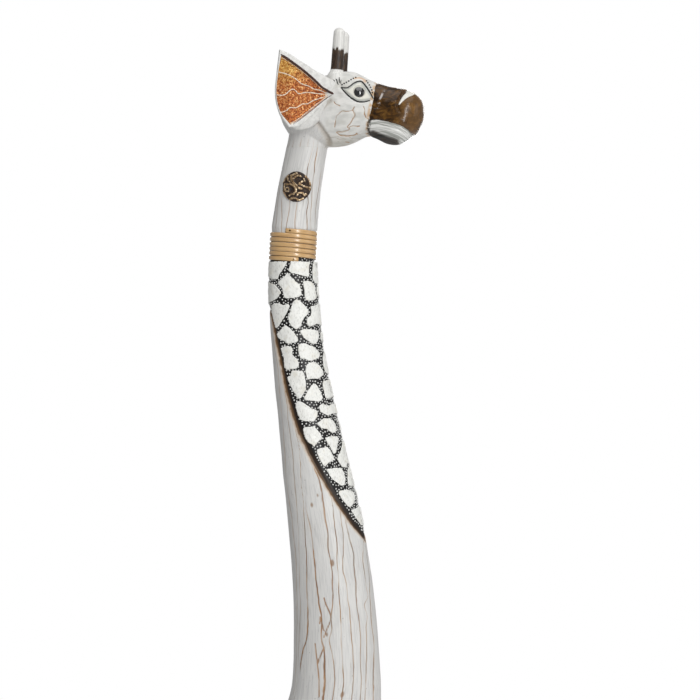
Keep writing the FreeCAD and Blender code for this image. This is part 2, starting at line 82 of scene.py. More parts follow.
def noise(points, size, seed=0):
    """Smooth noise from -1 to 1; size is the width of one swell, as one number or three."""
    q = points / size
    base = np.floor(q)
    t = q - base
    t = t * t * (3 - 2 * t)
    base = base.astype(np.int64) + 4096
    total = np.zeros(len(q))
    for corner in range(8):
        step = np.array([corner & 1, corner >> 1 & 1, corner >> 2 & 1])
        share = np.prod(np.where(step, t, 1 - t), axis=1)
        total += share * lattice(base + step, seed)
    return total

# ---- mesh tools ----
def read_mesh(mesh):
    points = np.empty(len(mesh.vertices) * 3)
    mesh.vertices.foreach_get("co", points)
    return points.reshape(-1, 3)


def read_normals(mesh):
    normals = np.empty(len(mesh.vertices) * 3)
    mesh.vertex_normals.foreach_get("vector", normals)
    return normals.reshape(-1, 3)


def write_mesh(mesh, points):
    mesh.vertices.foreach_set("co", np.ascontiguousarray(points, dtype=float).ravel())
    mesh.update()


def push_out(piece, push):
    """Moves every point along its normal, in millimetres."""
    write_mesh(piece.data, read_mesh(piece.data) + read_normals(piece.data) * push[:, None] * MM)


def add_object(name, data):
    obj = bpy.data.objects.new(name, data)
    bpy.context.scene.collection.objects.link(obj)
    return obj


def object_of(name, bm):
    """A smooth-shaded object from a bmesh, with its faces turned outwards."""
    bmesh.ops.recalc_face_normals(bm, faces=bm.faces[:])
    mesh = bpy.data.meshes.new(name)
    bm.to_mesh(mesh)
    bm.free()
    mesh.shade_smooth()
    return add_object(name, mesh)


def new_piece(name, points, faces):
    mesh = bpy.data.meshes.new("points_of_" + name)
    mesh.from_pydata([tuple(p) for p in points], [], [tuple(f) for f in faces])
    bm = bmesh.new()
    bm.from_mesh(mesh)
    bpy.data.meshes.remove(mesh)
    return object_of(name, bm)


def tree_of(*meshes):
    """A search tree over the faces of one or more meshes."""
    corners, faces = [], []
    for mesh in meshes:
        shift = len(corners)
        corners += [v.co.copy() for v in mesh.vertices]
        faces += [tuple(k + shift for k in p.vertices) for p in mesh.polygons]
    return BVHTree.FromPolygons(corners, faces)


def relax(mesh, rounds, strength=None, keep_size=True):
    """Evens a mesh out; strength is one weight per point."""
    points = read_mesh(mesh)
    edges = np.empty(len(mesh.edges) * 2, dtype=np.int64)
    mesh.edges.foreach_get("vertices", edges)
    a, b = edges.reshape(-1, 2).T
    count = np.bincount(np.concatenate([a, b]), minlength=len(points)).astype(float)
    count[count == 0] = 1
    weight = np.ones(len(points)) if strength is None else strength
    for turn in range(rounds):
        mean = np.empty_like(points)
        for k in range(3):
            mean[:, k] = (np.bincount(a, points[b, k], len(points))
                          + np.bincount(b, points[a, k], len(points))) / count
        push = -0.53 if keep_size and turn % 2 else 0.5
        points += (mean - points) * (push * weight)[:, None]
    write_mesh(mesh, points)


def remeshed(name, sources, voxel, dropped_levels=()):
    """One closed skin over several CAD nodes, with the level joint faces between them left out."""
    bm = bmesh.new()
    for source in sources:
        bm.from_mesh(nodes[source].data)
    inner = [face for face in bm.faces
             if any(all(abs(v.co.z - level * MM) < 2e-5 for v in face.verts)
                    for level in dropped_levels)]
    bmesh.ops.delete(bm, geom=inner, context="FACES")
    mesh = bpy.data.meshes.new(name)
    bm.to_mesh(mesh)
    bm.free()
    obj = add_object(name, mesh)
    modifier = obj.modifiers.new("skin", "REMESH")
    modifier.mode = "VOXEL"
    modifier.voxel_size = voxel * MM
    modifier.adaptivity = 0
    depsgraph = bpy.context.evaluated_depsgraph_get()
    result = bpy.data.meshes.new_from_object(obj.evaluated_get(depsgraph))
    bpy.data.objects.remove(obj)
    return result


def largest_island(bm):
    """Removes every loose shell but the one with most points."""
    bm.verts.ensure_lookup_table()
    seen, best = set(), []
    for start in bm.verts:
        if start in seen:
            continue
        island, queue = [], [start]
        seen.add(start)
        while queue:
            vert = queue.pop()
            island.append(vert)
            for edge in vert.link_edges:
                other = edge.other_vert(vert)
                if other not in seen:
                    seen.add(other)
                    queue.append(other)
        if len(island) > len(best):
            best = island
    keep = set(best)
    bmesh.ops.delete(bm, geom=[v for v in bm.verts if v not in keep], context="VERTS")


def slice_off(bm, spot, way):
    """Cuts away what lies beyond a plane, on the side that way points to."""
    bmesh.ops.bisect_plane(bm, geom=bm.verts[:] + bm.edges[:] + bm.faces[:], dist=1e-7,
                           plane_co=spot, plane_no=way, clear_outer=True)


def capped(name, bm):
    """Closes the cut edges with flat caps and makes the object."""
    rim = [edge for edge in bm.edges if edge.is_boundary]
    if rim:
        bmesh.ops.holes_fill(bm, edges=rim, sides=0)
    return object_of(name, bm)


def cut_piece(name, mesh, low=None, high=None, side=0, rear=None):
    """The part of a skin between two levels, closed with flat caps. side and rear pick one leg."""
    bm = bmesh.new()
    bm.from_mesh(mesh)
    for level, sign in ((low, -1), (high, 1)):
        if level is not None:
            slice_off(bm, (0, 0, level * MM), (0, 0, sign))
    if side:
        unwanted = [v for v in bm.verts if v.co.x * side < 0 or (v.co.y > 0) != rear]
        bmesh.ops.delete(bm, geom=unwanted, context="VERTS")
    largest_island(bm)
    return capped(name, bm)


def attributes(obj, **layers):
    """Stores numbers or vectors per point, for the materials to read. A single number fills its layer."""
    for name, values in layers.items():
        values = np.asarray(values, dtype=float)
        if values.ndim == 0:
            values = np.full(len(obj.data.vertices), float(values))
        kind, key = ("FLOAT", "value") if values.ndim == 1 else ("FLOAT_VECTOR", "vector")
        obj.data.attributes.new(name, kind, "POINT").data.foreach_set(key, values.ravel())


# ---- skins built from rings of points; a shape is a list of points and a list of faces ----
def circle(middle, one, two, sides):
    """Points round an ellipse with the given half axes."""
    turns = [2 * math.pi * j / sides for j in range(sides)]
    return [middle + one * math.cos(a) + two * math.sin(a) for a in turns]


def ring_quads(rings, sides, first=0):
    """Faces between neighbouring rings of points, which start at point number first."""
    return [(low + j, low + (j + 1) % sides, low + sides + (j + 1) % sides, low + sides + j)
            for low in range(first, first + (rings - 1) * sides, sides) for j in range(sides)]


def add_rings(shape, rings, top=None):
    """Joins rings into a skin with a closed foot, and a flat end or a point on top."""
    spots, faces = shape
    first, sides = len(spots), len(rings[0])
    for ring in rings:
        spots.extend(ring)
    last = len(spots) - sides
    faces += ring_quads(len(rings), sides, first)
    faces.append(tuple(range(first, first + sides))[::-1])
    if top is None:
        faces.append(tuple(range(last, last + sides)))
    else:
        faces += [(last + j, last + (j + 1) % sides, len(spots)) for j in range(sides)]
        spots.append(top)


def tube(shape, path, outs, widths, lift=0.0, flatten=0.55, sides=8):
    """A painted line: a flattened tube along path, lying on the surface, with closed ends."""
    rings = []
    for k, (spot, out, width) in enumerate(zip(path, outs, widths)):
        ahead_of = path[min(k + 1, len(path) - 1)] - path[max(k - 1, 0)]
        if ahead_of.length < 1e-9:
            ahead_of = Vector((0, 0, 1))
        across = ahead_of.cross(out).normalized()
        rings.append(circle(spot + out * (lift * width * MM), across * (width * MM),
                            out * (flatten * width * MM), sides))
    add_rings(shape, rings)


DROP_SINK = 0.25


def round_profile(rise, rows):
    """Rings of a round drop as (reach, rise) in radii, then the rise of its top."""
    tilts = [math.pi / 2 * row / rows for row in range(rows)]
    return [(math.cos(a), math.sin(a) * rise - DROP_SINK) for a in tilts] + [rise - DROP_SINK]


def drop(shape, spot, out, one, radius, profile, sides):
    """A small drop of paint on a surface."""
    two = out.cross(one)
    *rows, top = profile
    scale = radius * MM
    rings = [circle(spot + out * (rise * scale), one * (reach * scale), two * (reach * scale), sides)
             for reach, rise in rows]
    add_rings(shape, rings, spot + out * (top * scale))


def paint_piece(name, shape):
    obj = new_piece(name, *shape)
    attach(obj, "root")
    return obj


# ---- flat drawing: lines and outlines as lists of (across, up) ----
def curve_through(points, steps=8):
    """A smooth line through the given points."""
    p = np.asarray(points, dtype=float)
    p = np.vstack([2 * p[0] - p[1], p, 2 * p[-1] - p[-2]])
    out = []
    for k in range(1, len(p) - 2):
        for t in np.arange(steps) / steps:
            a, b, c, d = p[k - 1:k + 3]
            out.append(0.5 * (2 * b + (c - a) * t + (2 * a - 5 * b + 4 * c - d) * t ** 2
                              + (3 * b - a - 3 * c + d) * t ** 3))
    out.append(p[-2])
    return np.array(out)


def line_distance(x, y, line):
    best = np.full(len(x), 1e9)
    for (ax, ay), (bx, by) in zip(line[:-1], line[1:]):
        dx, dy = bx - ax, by - ay
        t = np.clip(((x - ax) * dx + (y - ay) * dy) / (dx * dx + dy * dy + 1e-12), 0, 1)
        best = np.minimum(best, np.hypot(x - ax - t * dx, y - ay - t * dy))
    return best


def outline_distance(x, y, outline):
    """Distance to a closed outline, positive inside it and negative outside."""
    outline = np.asarray(outline)
    closed = np.vstack([outline, outline[:1]])
    inside = np.zeros(len(x), dtype=bool)
    for (ax, ay), (bx, by) in zip(closed[:-1], closed[1:]):
        crosses = (ay > y) != (by > y)
        inside ^= crosses & (x < ax + (bx - ax) * (y - ay) / (by - ay + 1e-12))
    return np.where(inside, 1, -1) * line_distance(x, y, closed)


# ================= the carved wood =================
HEAD_LEVEL, CHEST_LEVEL, LEG_LEVEL = 1072.0, 478.0, 270.0
COARSE, FINE = 1.42, 0.72
body_skin = remeshed("body_skin", ["neck", "torso", "leg_front_left", "leg_front_right", "head",
                                   "leg_rear_left", "leg_rear_right", "head_dowel",
                                   "neck_torso_dowel", "leg_dowels", "tail_peg"],
                     COARSE, (HEAD_LEVEL, CHEST_LEVEL, LEG_LEVEL))
relax(body_skin, 8)
height = read_mesh(body_skin)[:, 2] / MM
relax(body_skin, 60, 1 - fade(height, 330, 400), keep_size=False)
head_skin = remeshed("head_skin", ["neck", "head", "head_dowel", "ear_pegs"], FINE, (HEAD_LEVEL,))
relax(head_skin, 14)
spots = read_mesh(head_skin)
f, s, z = measures(spots)
relax(head_skin, 40, bump(z, 1141, 9) * bump(np.hypot(f - 1, np.abs(s) - 13), 10, 8), keep_size=False)

# ---- the neck: centre line, sizes and the edge of the mosaic ----
# Rows of (up, forward of the centre, radius).
NECK_LINE = [(1112, -26.0, 21.0), (1070, -32.7, 22.0), (1030, -41.3, 23.0), (990, -46.1, 24.3),
             (950, -48.2, 25.0), (910, -46.7, 26.4), (870, -43.9, 27.2), (830, -39.0, 28.9),
             (790, -32.0, 31.2), (750, -25.6, 34.1), (710, -18.5, 37.2), (670, -11.4, 40.0),
             (630, -6.4, 41.8), (590, -2.7, 43.6), (550, -0.5, 45.3), (515, -0.1, 46.8),
             (478, -4.0, 50.0)]
PANEL_EDGE = [(0, 908), (30, 900), (45, 889), (63, 852), (80, 790), (98, 755), (123, 714),
              (150, 679), (180, 661)]
PANEL_TOP = 951.0
levels, centres, radii = np.array(NECK_LINE)[::-1].T
panel_line = curve_through(PANEL_EDGE, 6)


def round_neck(points):
    """Turn from the nape (0 to 180), height, and way round from the nape, of points on the neck."""
    f, s, z = measures(points)
    turn = np.degrees(np.arctan2(np.abs(s), -(f - np.interp(z, levels, centres))))
    return turn, z, np.radians(turn) * np.interp(z, levels, radii)


def unrolled(line):
    """A line of (turn, up) points laid flat, as (way round from the nape, up)."""
    return np.stack([np.radians(line[:, 0]) * np.interp(line[:, 1], levels, radii), line[:, 1]], axis=1)


def straightened(points):
    """Places on the neck as if it were a straight post, in millimetres, for the grain."""
    f, s, z = measures(points)
    return np.stack([s, f - np.interp(z, levels, centres), z], axis=1)


def inside_panel(points):
    """Distance inside the mosaic panel's lower edge, in millimetres; negative outside."""
    turn, z, across = round_neck(points)
    distance = line_distance(across, z, unrolled(panel_line))
    above = z > np.interp(turn, panel_line[:, 0], panel_line[:, 1])
    return np.where(above, distance, -distance)


# Open cracks of the flank, each as (turn from the nape, up), with its strength.
LOW_CRACKS = [
    ([(33, 900), (37, 864), (45, 845), (46, 826), (43, 800), (42, 775), (39, 749), (35, 723), (38, 692),
      (40, 663), (42, 640), (38, 600), (34, 552), (34, 500)], 0.4),
    ([(49, 862), (59, 832), (61, 800), (59, 781), (61, 756), (58, 724), (56, 699), (52, 663), (49, 639),
      (46, 619), (44, 582), (40, 552), (38, 478)], 0.6),
    ([(74, 771), (77, 756), (75, 737), (71, 718), (71, 705), (69, 688), (65, 663), (65, 646), (62, 620),
      (60, 598), (61, 582), (58, 558), (49, 543), (44, 526)], 1.0),
    ([(72, 694), (75, 677), (77, 661), (77, 640), (77, 623), (78, 606), (80, 590), (82, 577), (81, 558),
      (84, 548), (85, 529), (86, 500), (84, 478)], 1.0),
    ([(98, 733), (104, 720), (104, 706), (103, 690), (102, 664), (100, 650), (102, 632), (101, 615),
      (100, 599), (95, 580), (95, 567), (91, 555), (95, 541), (97, 526), (98, 505), (96, 478)], 0.85),
    ([(115, 716), (118, 699), (114, 674), (114, 657), (110, 635), (110, 620), (108, 606), (108, 592),
      (108, 570), (107, 551), (108, 534), (109, 505), (107, 478)], 1.0),
    ([(129, 693), (126, 678), (126, 667), (122, 649), (117, 629), (120, 616), (120, 597), (121, 584),
      (121, 565), (122, 543), (122, 522), (121, 478)], 0.85),
    ([(133, 677), (135, 660), (138, 646), (136, 631), (135, 614), (133, 594), (135, 573), (135, 554),
      (133, 533), (134, 511), (133, 478)], 0.8),
    ([(170, 657), (158, 640), (156, 624), (157, 607), (158, 599), (147, 591), (151, 579), (146, 567),
      (145, 549), (143, 532), (141, 510), (140, 478)], 0.85),
    ([(174, 651), (172, 629), (163, 603), (162, 589), (159, 572), (162, 555), (160, 538), (156, 516),
      (156, 478)], 0.8)]
HIGH_CRACKS = [
    ([(24, 1050), (26, 1000), (27, 986)], 0.4),
    ([(38, 1030), (40, 1011), (45, 1000), (47, 986)], 0.7),
    ([(56, 1016), (59, 1011), (66, 995), (68, 984)], 0.8),
    ([(82, 1013), (83, 1004), (81, 990), (79, 984)], 0.8),
    ([(102, 1013), (101, 1003), (101, 994), (104, 985)], 0.6),
    ([(118, 1072), (116, 1058), (114, 1049), (120, 1032), (132, 1014), (130, 1004), (134, 995),
      (137, 984)], 1.0),
    ([(131, 1072), (131, 1058), (136, 1045), (137, 1036), (141, 1015), (143, 999), (148, 986)], 1.0),
    ([(163, 1045), (165, 1031), (160, 1011), (164, 991)], 0.7)]
# Short slanting cracks, as (turn, up), and knots, as (turn, up, radius).
SIDE_CRACKS = [[(87, 600), (89, 593), (95, 580), (89, 568), (84, 559)],
               [(71, 552), (73, 540), (75, 529), (77, 516), (80, 497)],
               [(79, 573), (80, 580), (82, 574), (84, 566)], [(84, 549), (79, 540), (75, 531)]]
KNOTS = [(84, 696, 1.5), (103, 636, 2.2), (88, 562, 1.4), (109, 500, 2.0), (96, 706, 1.0)]
CRACK_FOOT = 492.0      # below this level the cracks run straight down
CRACK_CHANGE = 965.0    # behind the cane, where the upper cracks take over
FIRST_TURN, LAST_TURN = -8.0, 188.0
FAR = 9.0               # a distance that keeps a point clear of every mark


def grain_phase(points):
    """Crack lines round the neck: a count that passes a half at each line, and the line's strength."""
    turn, z, across = round_neck(points)
    z = np.maximum(z, CRACK_FOOT)
    nothing = np.zeros(len(z))
    phase, strength = nothing, nothing
    for cracks, part in ((LOW_CRACKS, z < CRACK_CHANGE), (HIGH_CRACKS, z >= CRACK_CHANGE)):
        turns, strengths = [nothing + FIRST_TURN], [nothing]
        for line, given in cracks:
            line = curve_through(line, 4)[::-1]
            low, high = line[0, 1], line[-1, 1]
            turns.append(np.maximum(np.interp(z, line[:, 1], line[:, 0]), turns[-1] + 2.0))
            strengths.append(given * fade(z, low - 9, low + 3) * (1 - fade(z, high - 3, high + 9)))
        turns.append(np.maximum(LAST_TURN, turns[-1] + 2.0))
        strengths.append(nothing)
        for k in range(len(turns) - 1):
            here = part & (turn >= turns[k]) & (turn < turns[k + 1])
            share = (turn - turns[k]) / (turns[k + 1] - turns[k])
            phase = np.where(here, k + share + 0.5, phase)
            strength = np.where(here, np.where(share < 0.5, strengths[k], strengths[k + 1]), strength)
    return phase, strength


def side_marks(points):
    """Distances to the short slanting cracks and to the knots, in millimetres."""
    turn, z, across = round_neck(points)
    slant, knot = np.full(len(z), FAR), np.full(len(z), FAR)
    for line in SIDE_CRACKS:
        slant = np.minimum(slant, line_distance(across, z, unrolled(curve_through(line, 3))))
    for at, up, size in KNOTS:
        middle = unrolled(np.array([[at, up]]))[0, 0]
        knot = np.minimum(knot, np.hypot(across - middle, (z - up) * 0.6) - size)
    return slant, knot


PANEL_MARGIN = 4.4      # how far the black ground reaches past the edge line
UNDER_CANE = 958.0      # the black ground ends here, hidden by the cane
NO_PANEL = -40.0
neck = cut_piece("neck_wood", body_skin, CHEST_LEVEL, HEAD_LEVEL)
points = read_mesh(neck.data)
z = measures(points)[2]
panel = np.where(z > UNDER_CANE, NO_PANEL, inside_panel(points) + PANEL_MARGIN)
groove = bump(panel, 1.2, 2.2) * (z < PANEL_TOP)
flat = np.abs(read_normals(neck.data)[:, 2]) > 0.9
phase, strength = grain_phase(points)
slant, knot = side_marks(points)
push = noise(points, 0.022, 3) * 0.35 + noise(points, (0.009, 0.009, 0.08), 4) * 0.1
push -= groove * 1.5 + fade(panel, 2.5, 4.5) * 0.35 + (1 - fade(knot, -0.5, 1.0)) * 0.4
push[flat | (np.abs(z - HEAD_LEVEL) < 3) | (np.abs(z - CHEST_LEVEL) < 2)] = 0
attributes(neck, panel=panel, straight=straightened(points), phase=phase, strength=strength,
           slant=slant, knot=knot)
push_out(neck, push)
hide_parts("neck")
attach(neck, "root")


# ================= the head =================
# Side-view drawing of the face: (forward, up).
EYE_TOP = [(9.3, 1133.0), (15.3, 1132.3), (18.7, 1134.2), (23.6, 1138.1), (29.0, 1139.9),
           (33.2, 1136.2), (37.6, 1130.3), (40.2, 1126.2), (42.9, 1120.8)]
EYE_BOTTOM = [(9.3, 1133.0), (16.2, 1125.2), (22.4, 1120.3), (27.5, 1117.8), (34.1, 1117.7),
              (40.0, 1119.2)]
PUPIL = (28.6, 1128.3)
MUZZLE = [(46.5, 1150.0), (44.2, 1136.9), (43.8, 1130.3), (43.3, 1121.5), (41.2, 1111.0),
          (38.8, 1101.5), (39.5, 1098.2), (48.4, 1098.6), (58.0, 1096.6), (66.0, 1094.2),
          (73.5, 1091.4), (79.0, 1087.6), (84.5, 1081.5), (92.0, 1076.5), (105.0, 1082.0), (105.0, 1150.0)]
JAW_PATCH = [(35.1, 1088.7), (42.3, 1089.7), (50.3, 1086.3), (59.7, 1082.7), (69.1, 1079.1),
             (67.0, 1072.0), (50.0, 1068.0), (34.0, 1078.0)]
FACE_EDGE = [(46.5, 1150.0), (44.2, 1136.9), (43.8, 1130.3), (43.3, 1121.5), (41.2, 1111.0),
             (38.8, 1100.7), (38.0, 1094.7), (36.0, 1086.2), (35.5, 1070.0)]
NOSTRIL = [(77.0, 1134.0), (85.5, 1127.0), (84.5, 1125.4), (78.5, 1121.3), (73.8, 1117.0),
           (70.8, 1113.4), (69.6, 1114.4), (72.4, 1120.4), (74.0, 1123.6), (76.6, 1126.8)]
# A pale streak on the muzzle: a painted reflection of a lamp on the lacquer.
PAINTED_GLARE = [(53.4, 1130.0), (52.4, 1126.0), (51.7, 1122.5), (49.6, 1118.0), (48.2, 1111.5)]
NOSTRIL_FOLD = [(75.5, 1134.0), (73.0, 1126.0), (70.4, 1120.5), (68.6, 1114.6), (69.4, 1110.5),
                (71.5, 1107.0)]
MOUTH = [(38.5, 1093.5), (46.0, 1094.4), (56.0, 1092.2), (66.0, 1089.2), (76.0, 1085.2)]
CHEEK_CRACKS = [
    [(1.8, 1118.1), (4.4, 1115.5), (8.8, 1113.5)],
    [(23.4, 1112.3), (21.6, 1109.6), (17.0, 1107.9), (10.8, 1107.6), (6.6, 1104.6), (4.6, 1101.6),
     (3.4, 1096.0), (2.6, 1091.5)],
    [(22.0, 1109.4), (23.6, 1106.0), (24.0, 1102.8), (21.6, 1098.6), (18.6, 1094.8), (16.2, 1092.1),
     (18.4, 1090.4), (14.8, 1088.2), (9.2, 1086.7), (4.0, 1086.6)],
    [(32.7, 1113.1), (34.4, 1109.4), (33.8, 1104.8), (35.6, 1100.7)],
    [(3.4, 1086.4), (7.2, 1083.6), (14.0, 1082.7), (19.4, 1083.7), (24.4, 1085.6)],
    [(18.3, 1091.9), (22.4, 1092.4), (28.2, 1092.6)],
    [(11.8, 1077.3), (18.0, 1077.0), (24.2, 1078.3), (33.1, 1082.1)],
    [(2.2, 1072.0), (12.5, 1072.6), (22.8, 1074.6)]]
# The cheek and ear creases are carved in, and painted with shade.
CHEEK_CREASE = [(-21.0, 1099.5), (-14.7, 1094.7), (-8.8, 1085.0), (-5.7, 1078.8), (-7.1, 1072.5)]
EAR_CREASE = [(-2.0, 1119.0), (-9.0, 1113.0), (-17.0, 1105.0), (-22.0, 1098.0)]

BROW = [(23.0, 1143.0), (26.5, 1143.8), (30.5, 1142.6), (33.6, 1139.6)]
FACE_MIDDLE = 1110.0

head = cut_piece("head_wood", head_skin, HEAD_LEVEL)
points = read_mesh(head.data)
f, s, z = measures(points)


def line_on_head(line):
    """Side-view distance of every point of the head to a smooth line."""
    return line_distance(f, z, curve_through(line, 4))


side_on = fade(np.abs(read_normals(head.data)[:, 0]), 0.12, 0.45)
eye = outline_distance(f, z, np.vstack([curve_through(EYE_TOP), curve_through(EYE_BOTTOM)[::-1]]))
muzzle = outline_distance(f, z, MUZZLE)
jaw = outline_distance(f, z, JAW_PATCH)
nostril = outline_distance(f, z, NOSTRIL)
face_edge = line_distance(f, z, FACE_EDGE)
edge_forward, edge_up = np.array(FACE_EDGE[::-1]).T
ahead = f - np.interp(z, edge_up, edge_forward)
wander, wander_up = noise(points, 0.005, 20) * 0.9, noise(points, 0.005, 21) * 0.9
cracks = np.full(len(f), FAR)
for line in CHEEK_CRACKS:
    cracks = np.minimum(cracks, line_distance(f + wander, z + wander_up, curve_through(line, 4)))
fold, mouth = line_on_head(NOSTRIL_FOLD), line_on_head(MOUTH)
crease = np.minimum(line_on_head(CHEEK_CREASE), line_on_head(EAR_CREASE) + 0.8)
pupil = np.hypot(f - PUPIL[0], z - PUPIL[1])

push = noise(points, 0.016, 5) * 0.45 + noise(points, 0.006, 6) * 0.16
push += side_on * (fade(eye, -0.6, 3.0) * 1.1 - bump(eye, 0.0, 1.0) * 0.7)
push += side_on * bump(eye, -3.2, 2.4) * (z > 1126) * 0.7
push -= side_on * bump(crease, 0, 2.2) * 2.0
push -= bump(cracks, 0, 0.7) * 0.4 * side_on
push -= bump(face_edge, 0, 0.9) * 0.6
push += fade(ahead, 0.5, 3.0) * 0.35
push += fade(muzzle, 0.0, 1.6) * (1 - fade(muzzle, 4.0, 12.0)) * (z < 1110) * (ahead > 2) * 1.1
push -= side_on * bump(fold, 0, 1.3) * 1.8
push += side_on * fade(nostril, -0.3, 1.2) * 0.7
push -= side_on * bump(mouth, 0, 0.9) * 1.0
push -= bump(np.abs(muzzle), 0, 0.9) * (z < 1103) * (ahead > 2) * 0.7
push = np.where(pupil < 6.4, np.minimum(push, -0.25), push)
push -= fade(f, 60, 92) * 1.2
push *= fade(z, HEAD_LEVEL + 1, HEAD_LEVEL + 6)
push_out(head, push)
attributes(head, muzzle=muzzle, jaw=jaw, ahead=ahead, straight=straightened(points), slant=FAR, knot=FAR,
           lip=np.stack([f, muzzle, s], axis=1), face=np.stack([s, z - FACE_MIDDLE, f], axis=1),
           scuff=line_distance(f + wander, z, curve_through(PAINTED_GLARE, 4)),
           nostril=np.where(np.abs(s) > 4.5, nostril, -FAR), brow=line_distance(f, z, BROW),
           eye=np.where(side_on > 0.3, eye, -FAR), cracks=np.where(side_on > 0.1, cracks, FAR),
           crease=np.where(side_on > 0.1, np.minimum(crease, mouth + 0.3 * (ahead < 0)), FAR),
           phase=grain_phase(points)[0], strength=0.5 * (1 - fade(z, 1074, 1084)))
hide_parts("head")
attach(head, "root")

face_tree = tree_of(head.data)


def on_face(line, steps, side):
    """Points and outward normals of the head where level lines from the side meet a drawn line."""
    hits = []
    for forward, up in curve_through(line, steps) if steps else line:
        spot, out, index, reach = face_tree.ray_cast(place(forward, side * 90, up), Vector((-side, 0, 0)))
        if spot:
            hits.append((spot, out))
    return hits


# Lashes with their thickness, and brow dots, in the side view.
LASHES = [([(6.2, 1144.9), (6.8, 1141.0), (7.7, 1137.6)], 0.55),
          ([(3.9, 1142.8), (4.9, 1139.0), (6.6, 1135.8)], 0.5),
          ([(0.2, 1142.5), (1.4, 1140.6), (3.0, 1138.3)], 0.45),
          ([(8.9, 1141.5), (8.7, 1138.8), (9.3, 1136.4)], 0.35),
          ([(2.0, 1145.2), (3.0, 1142.5), (3.9, 1140.6)], 0.3)]
BROW_DOTS = [(10.5, 1135.9), (12.6, 1137.1), (14.8, 1138.3), (17.2, 1139.7), (19.4, 1141.4),
             (21.4, 1142.9), (23.6, 1144.0), (34.6, 1140.4), (36.4, 1138.2), (38.2, 1135.8),
             (39.8, 1133.2), (41.2, 1130.4), (42.0, 1127.4)]
ink = ([], [])
for side in (-1, 1):
    for line, thick, thin in ((EYE_TOP, 0.75, 0.6), (EYE_BOTTOM, 0.72, 0.5)):
        path, outs = zip(*on_face(line, 5, side))
        last = len(path) - 1
        widths = [thin + (thick - thin) * math.sin(math.pi * k / last) for k in range(last)] + [0.2]
        tube(ink, path, outs, [1.5 * width for width in widths])
    for line, thick in LASHES:
        hits = on_face(line, 4, side)
        if len(hits) > 2:
            tube(ink, *zip(*hits), [0.15 + (1.3 * thick - 0.15) * math.sin(math.pi * (k + 0.6) / len(hits))
                                    for k in range(len(hits))])
    for spot, out in on_face(BROW_DOTS, 0, side):
        drop(ink, spot, out, out.orthogonal().normalized(), 0.92, round_profile(1.5, 3), 8)
ink_piece = paint_piece("painted_lines", ink)


# ================= body, legs and tail =================
TAIL_END, CHEST_FRONT = -210.0, 45.0
BELLY_ROUND = 54.0      # how far the grain lines sweep in towards the middle of the back and chest
GRAIN_GAP = 7.85
GRAIN_START = 262.5


def body_attributes(obj, points):
    """Grain of the body and legs: the neck's cracks fade into lines that run down the flanks."""
    f, s, z = measures(points)
    share = np.clip((f - TAIL_END) / (CHEST_FRONT - TAIL_END), 0, 1)
    sweep = BELLY_ROUND - (1 - 2 * share) * (BELLY_ROUND - np.abs(s))
    along = (f - TAIL_END + sweep - GRAIN_START) / GRAIN_GAP
    upper, strength = grain_phase(points)
    blend = fade(CHEST_LEVEL - z, 0, 120)
    attributes(obj, straight=np.stack([s, f + 4, z], axis=1), panel=NO_PANEL, slant=FAR, knot=FAR,
               phase=upper + (along - upper) * blend, strength=strength + (0.85 - strength) * blend,
               free=blend)


torso = cut_piece("torso_wood", body_skin, LEG_LEVEL, CHEST_LEVEL)
points = read_mesh(torso.data)
z = measures(points)[2]
push = noise(points, 0.03, 8) * 0.5 + noise(points, (0.008, 0.008, 0.05), 9) * 0.15
push *= fade(z, LEG_LEVEL + 1, LEG_LEVEL + 8) * (1 - fade(z, CHEST_LEVEL - 8, CHEST_LEVEL - 1))
push_out(torso, push)
body_attributes(torso, points)
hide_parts("torso")
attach(torso, "root")

HOOF_TOP, HOOF_MIDDLE = 33.0, 38.2
legs = []
for rear, word in ((False, "front"), (True, "rear")):
    for side, hand in ((-1, "right"), (1, "left")):
        leg = cut_piece("leg_" + word + "_" + hand + "_wood", body_skin, 0.4, LEG_LEVEL, side, rear)
        points = read_mesh(leg.data)
        f, s, z = measures(points)
        toe = np.max(f[z < 60])
        push = noise(points, 0.024, 12) * 0.5 + noise(points, (0.007, 0.007, 0.04), 13) * 0.15
        cuff = HOOF_TOP + 3.0 * np.cos((f - toe + 25) / 18)
        push -= bump(z, cuff, 1.6) * 1.1
        push += fade(cuff - z, 0, 5) * (1 - fade(cuff - z, 6, 20)) * 0.6
        cleft = bump(s - side * HOOF_MIDDLE, 0, 1.6)
        push -= cleft * fade(f, toe - 24, toe - 12) * (1 - fade(z, 20, 30)) * 2.2
        push *= fade(z, 0.5, 4.0) * (1 - fade(z, LEG_LEVEL - 8, LEG_LEVEL - 1))
        push_out(leg, push)
        moved = read_mesh(leg.data)
        moved[z < 1.0, 2] = 0.0
        write_mesh(leg.data, moved)
        body_attributes(leg, points)
        attributes(leg, hoof=cuff - z)
        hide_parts("leg_" + word + "_" + hand)
        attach(leg, "root")
        legs.append(leg)

TUFT_TOP = 286.0
tail_skin = remeshed("tail_skin", ["tail", "tail_peg"], 0.9)
relax(tail_skin, 10)
tail = cut_piece("tail_wood", tail_skin)
points = read_mesh(tail.data)
f, s, z = measures(points)
around = np.arctan2(s, f + 221)
hairs = np.cos(around * 7 + np.sin(z / 9.0) * 0.6) * 0.8 - 0.4
push_out(tail, noise(points, 0.01, 15) * 0.2 + (1 - fade(z, 282, 290)) * hairs - bump(z, 288, 2.2) * 0.8)
body_attributes(tail, points)
attributes(tail, hoof=TUFT_TOP - z)
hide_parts("tail", "tail_peg")
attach(tail, "root")

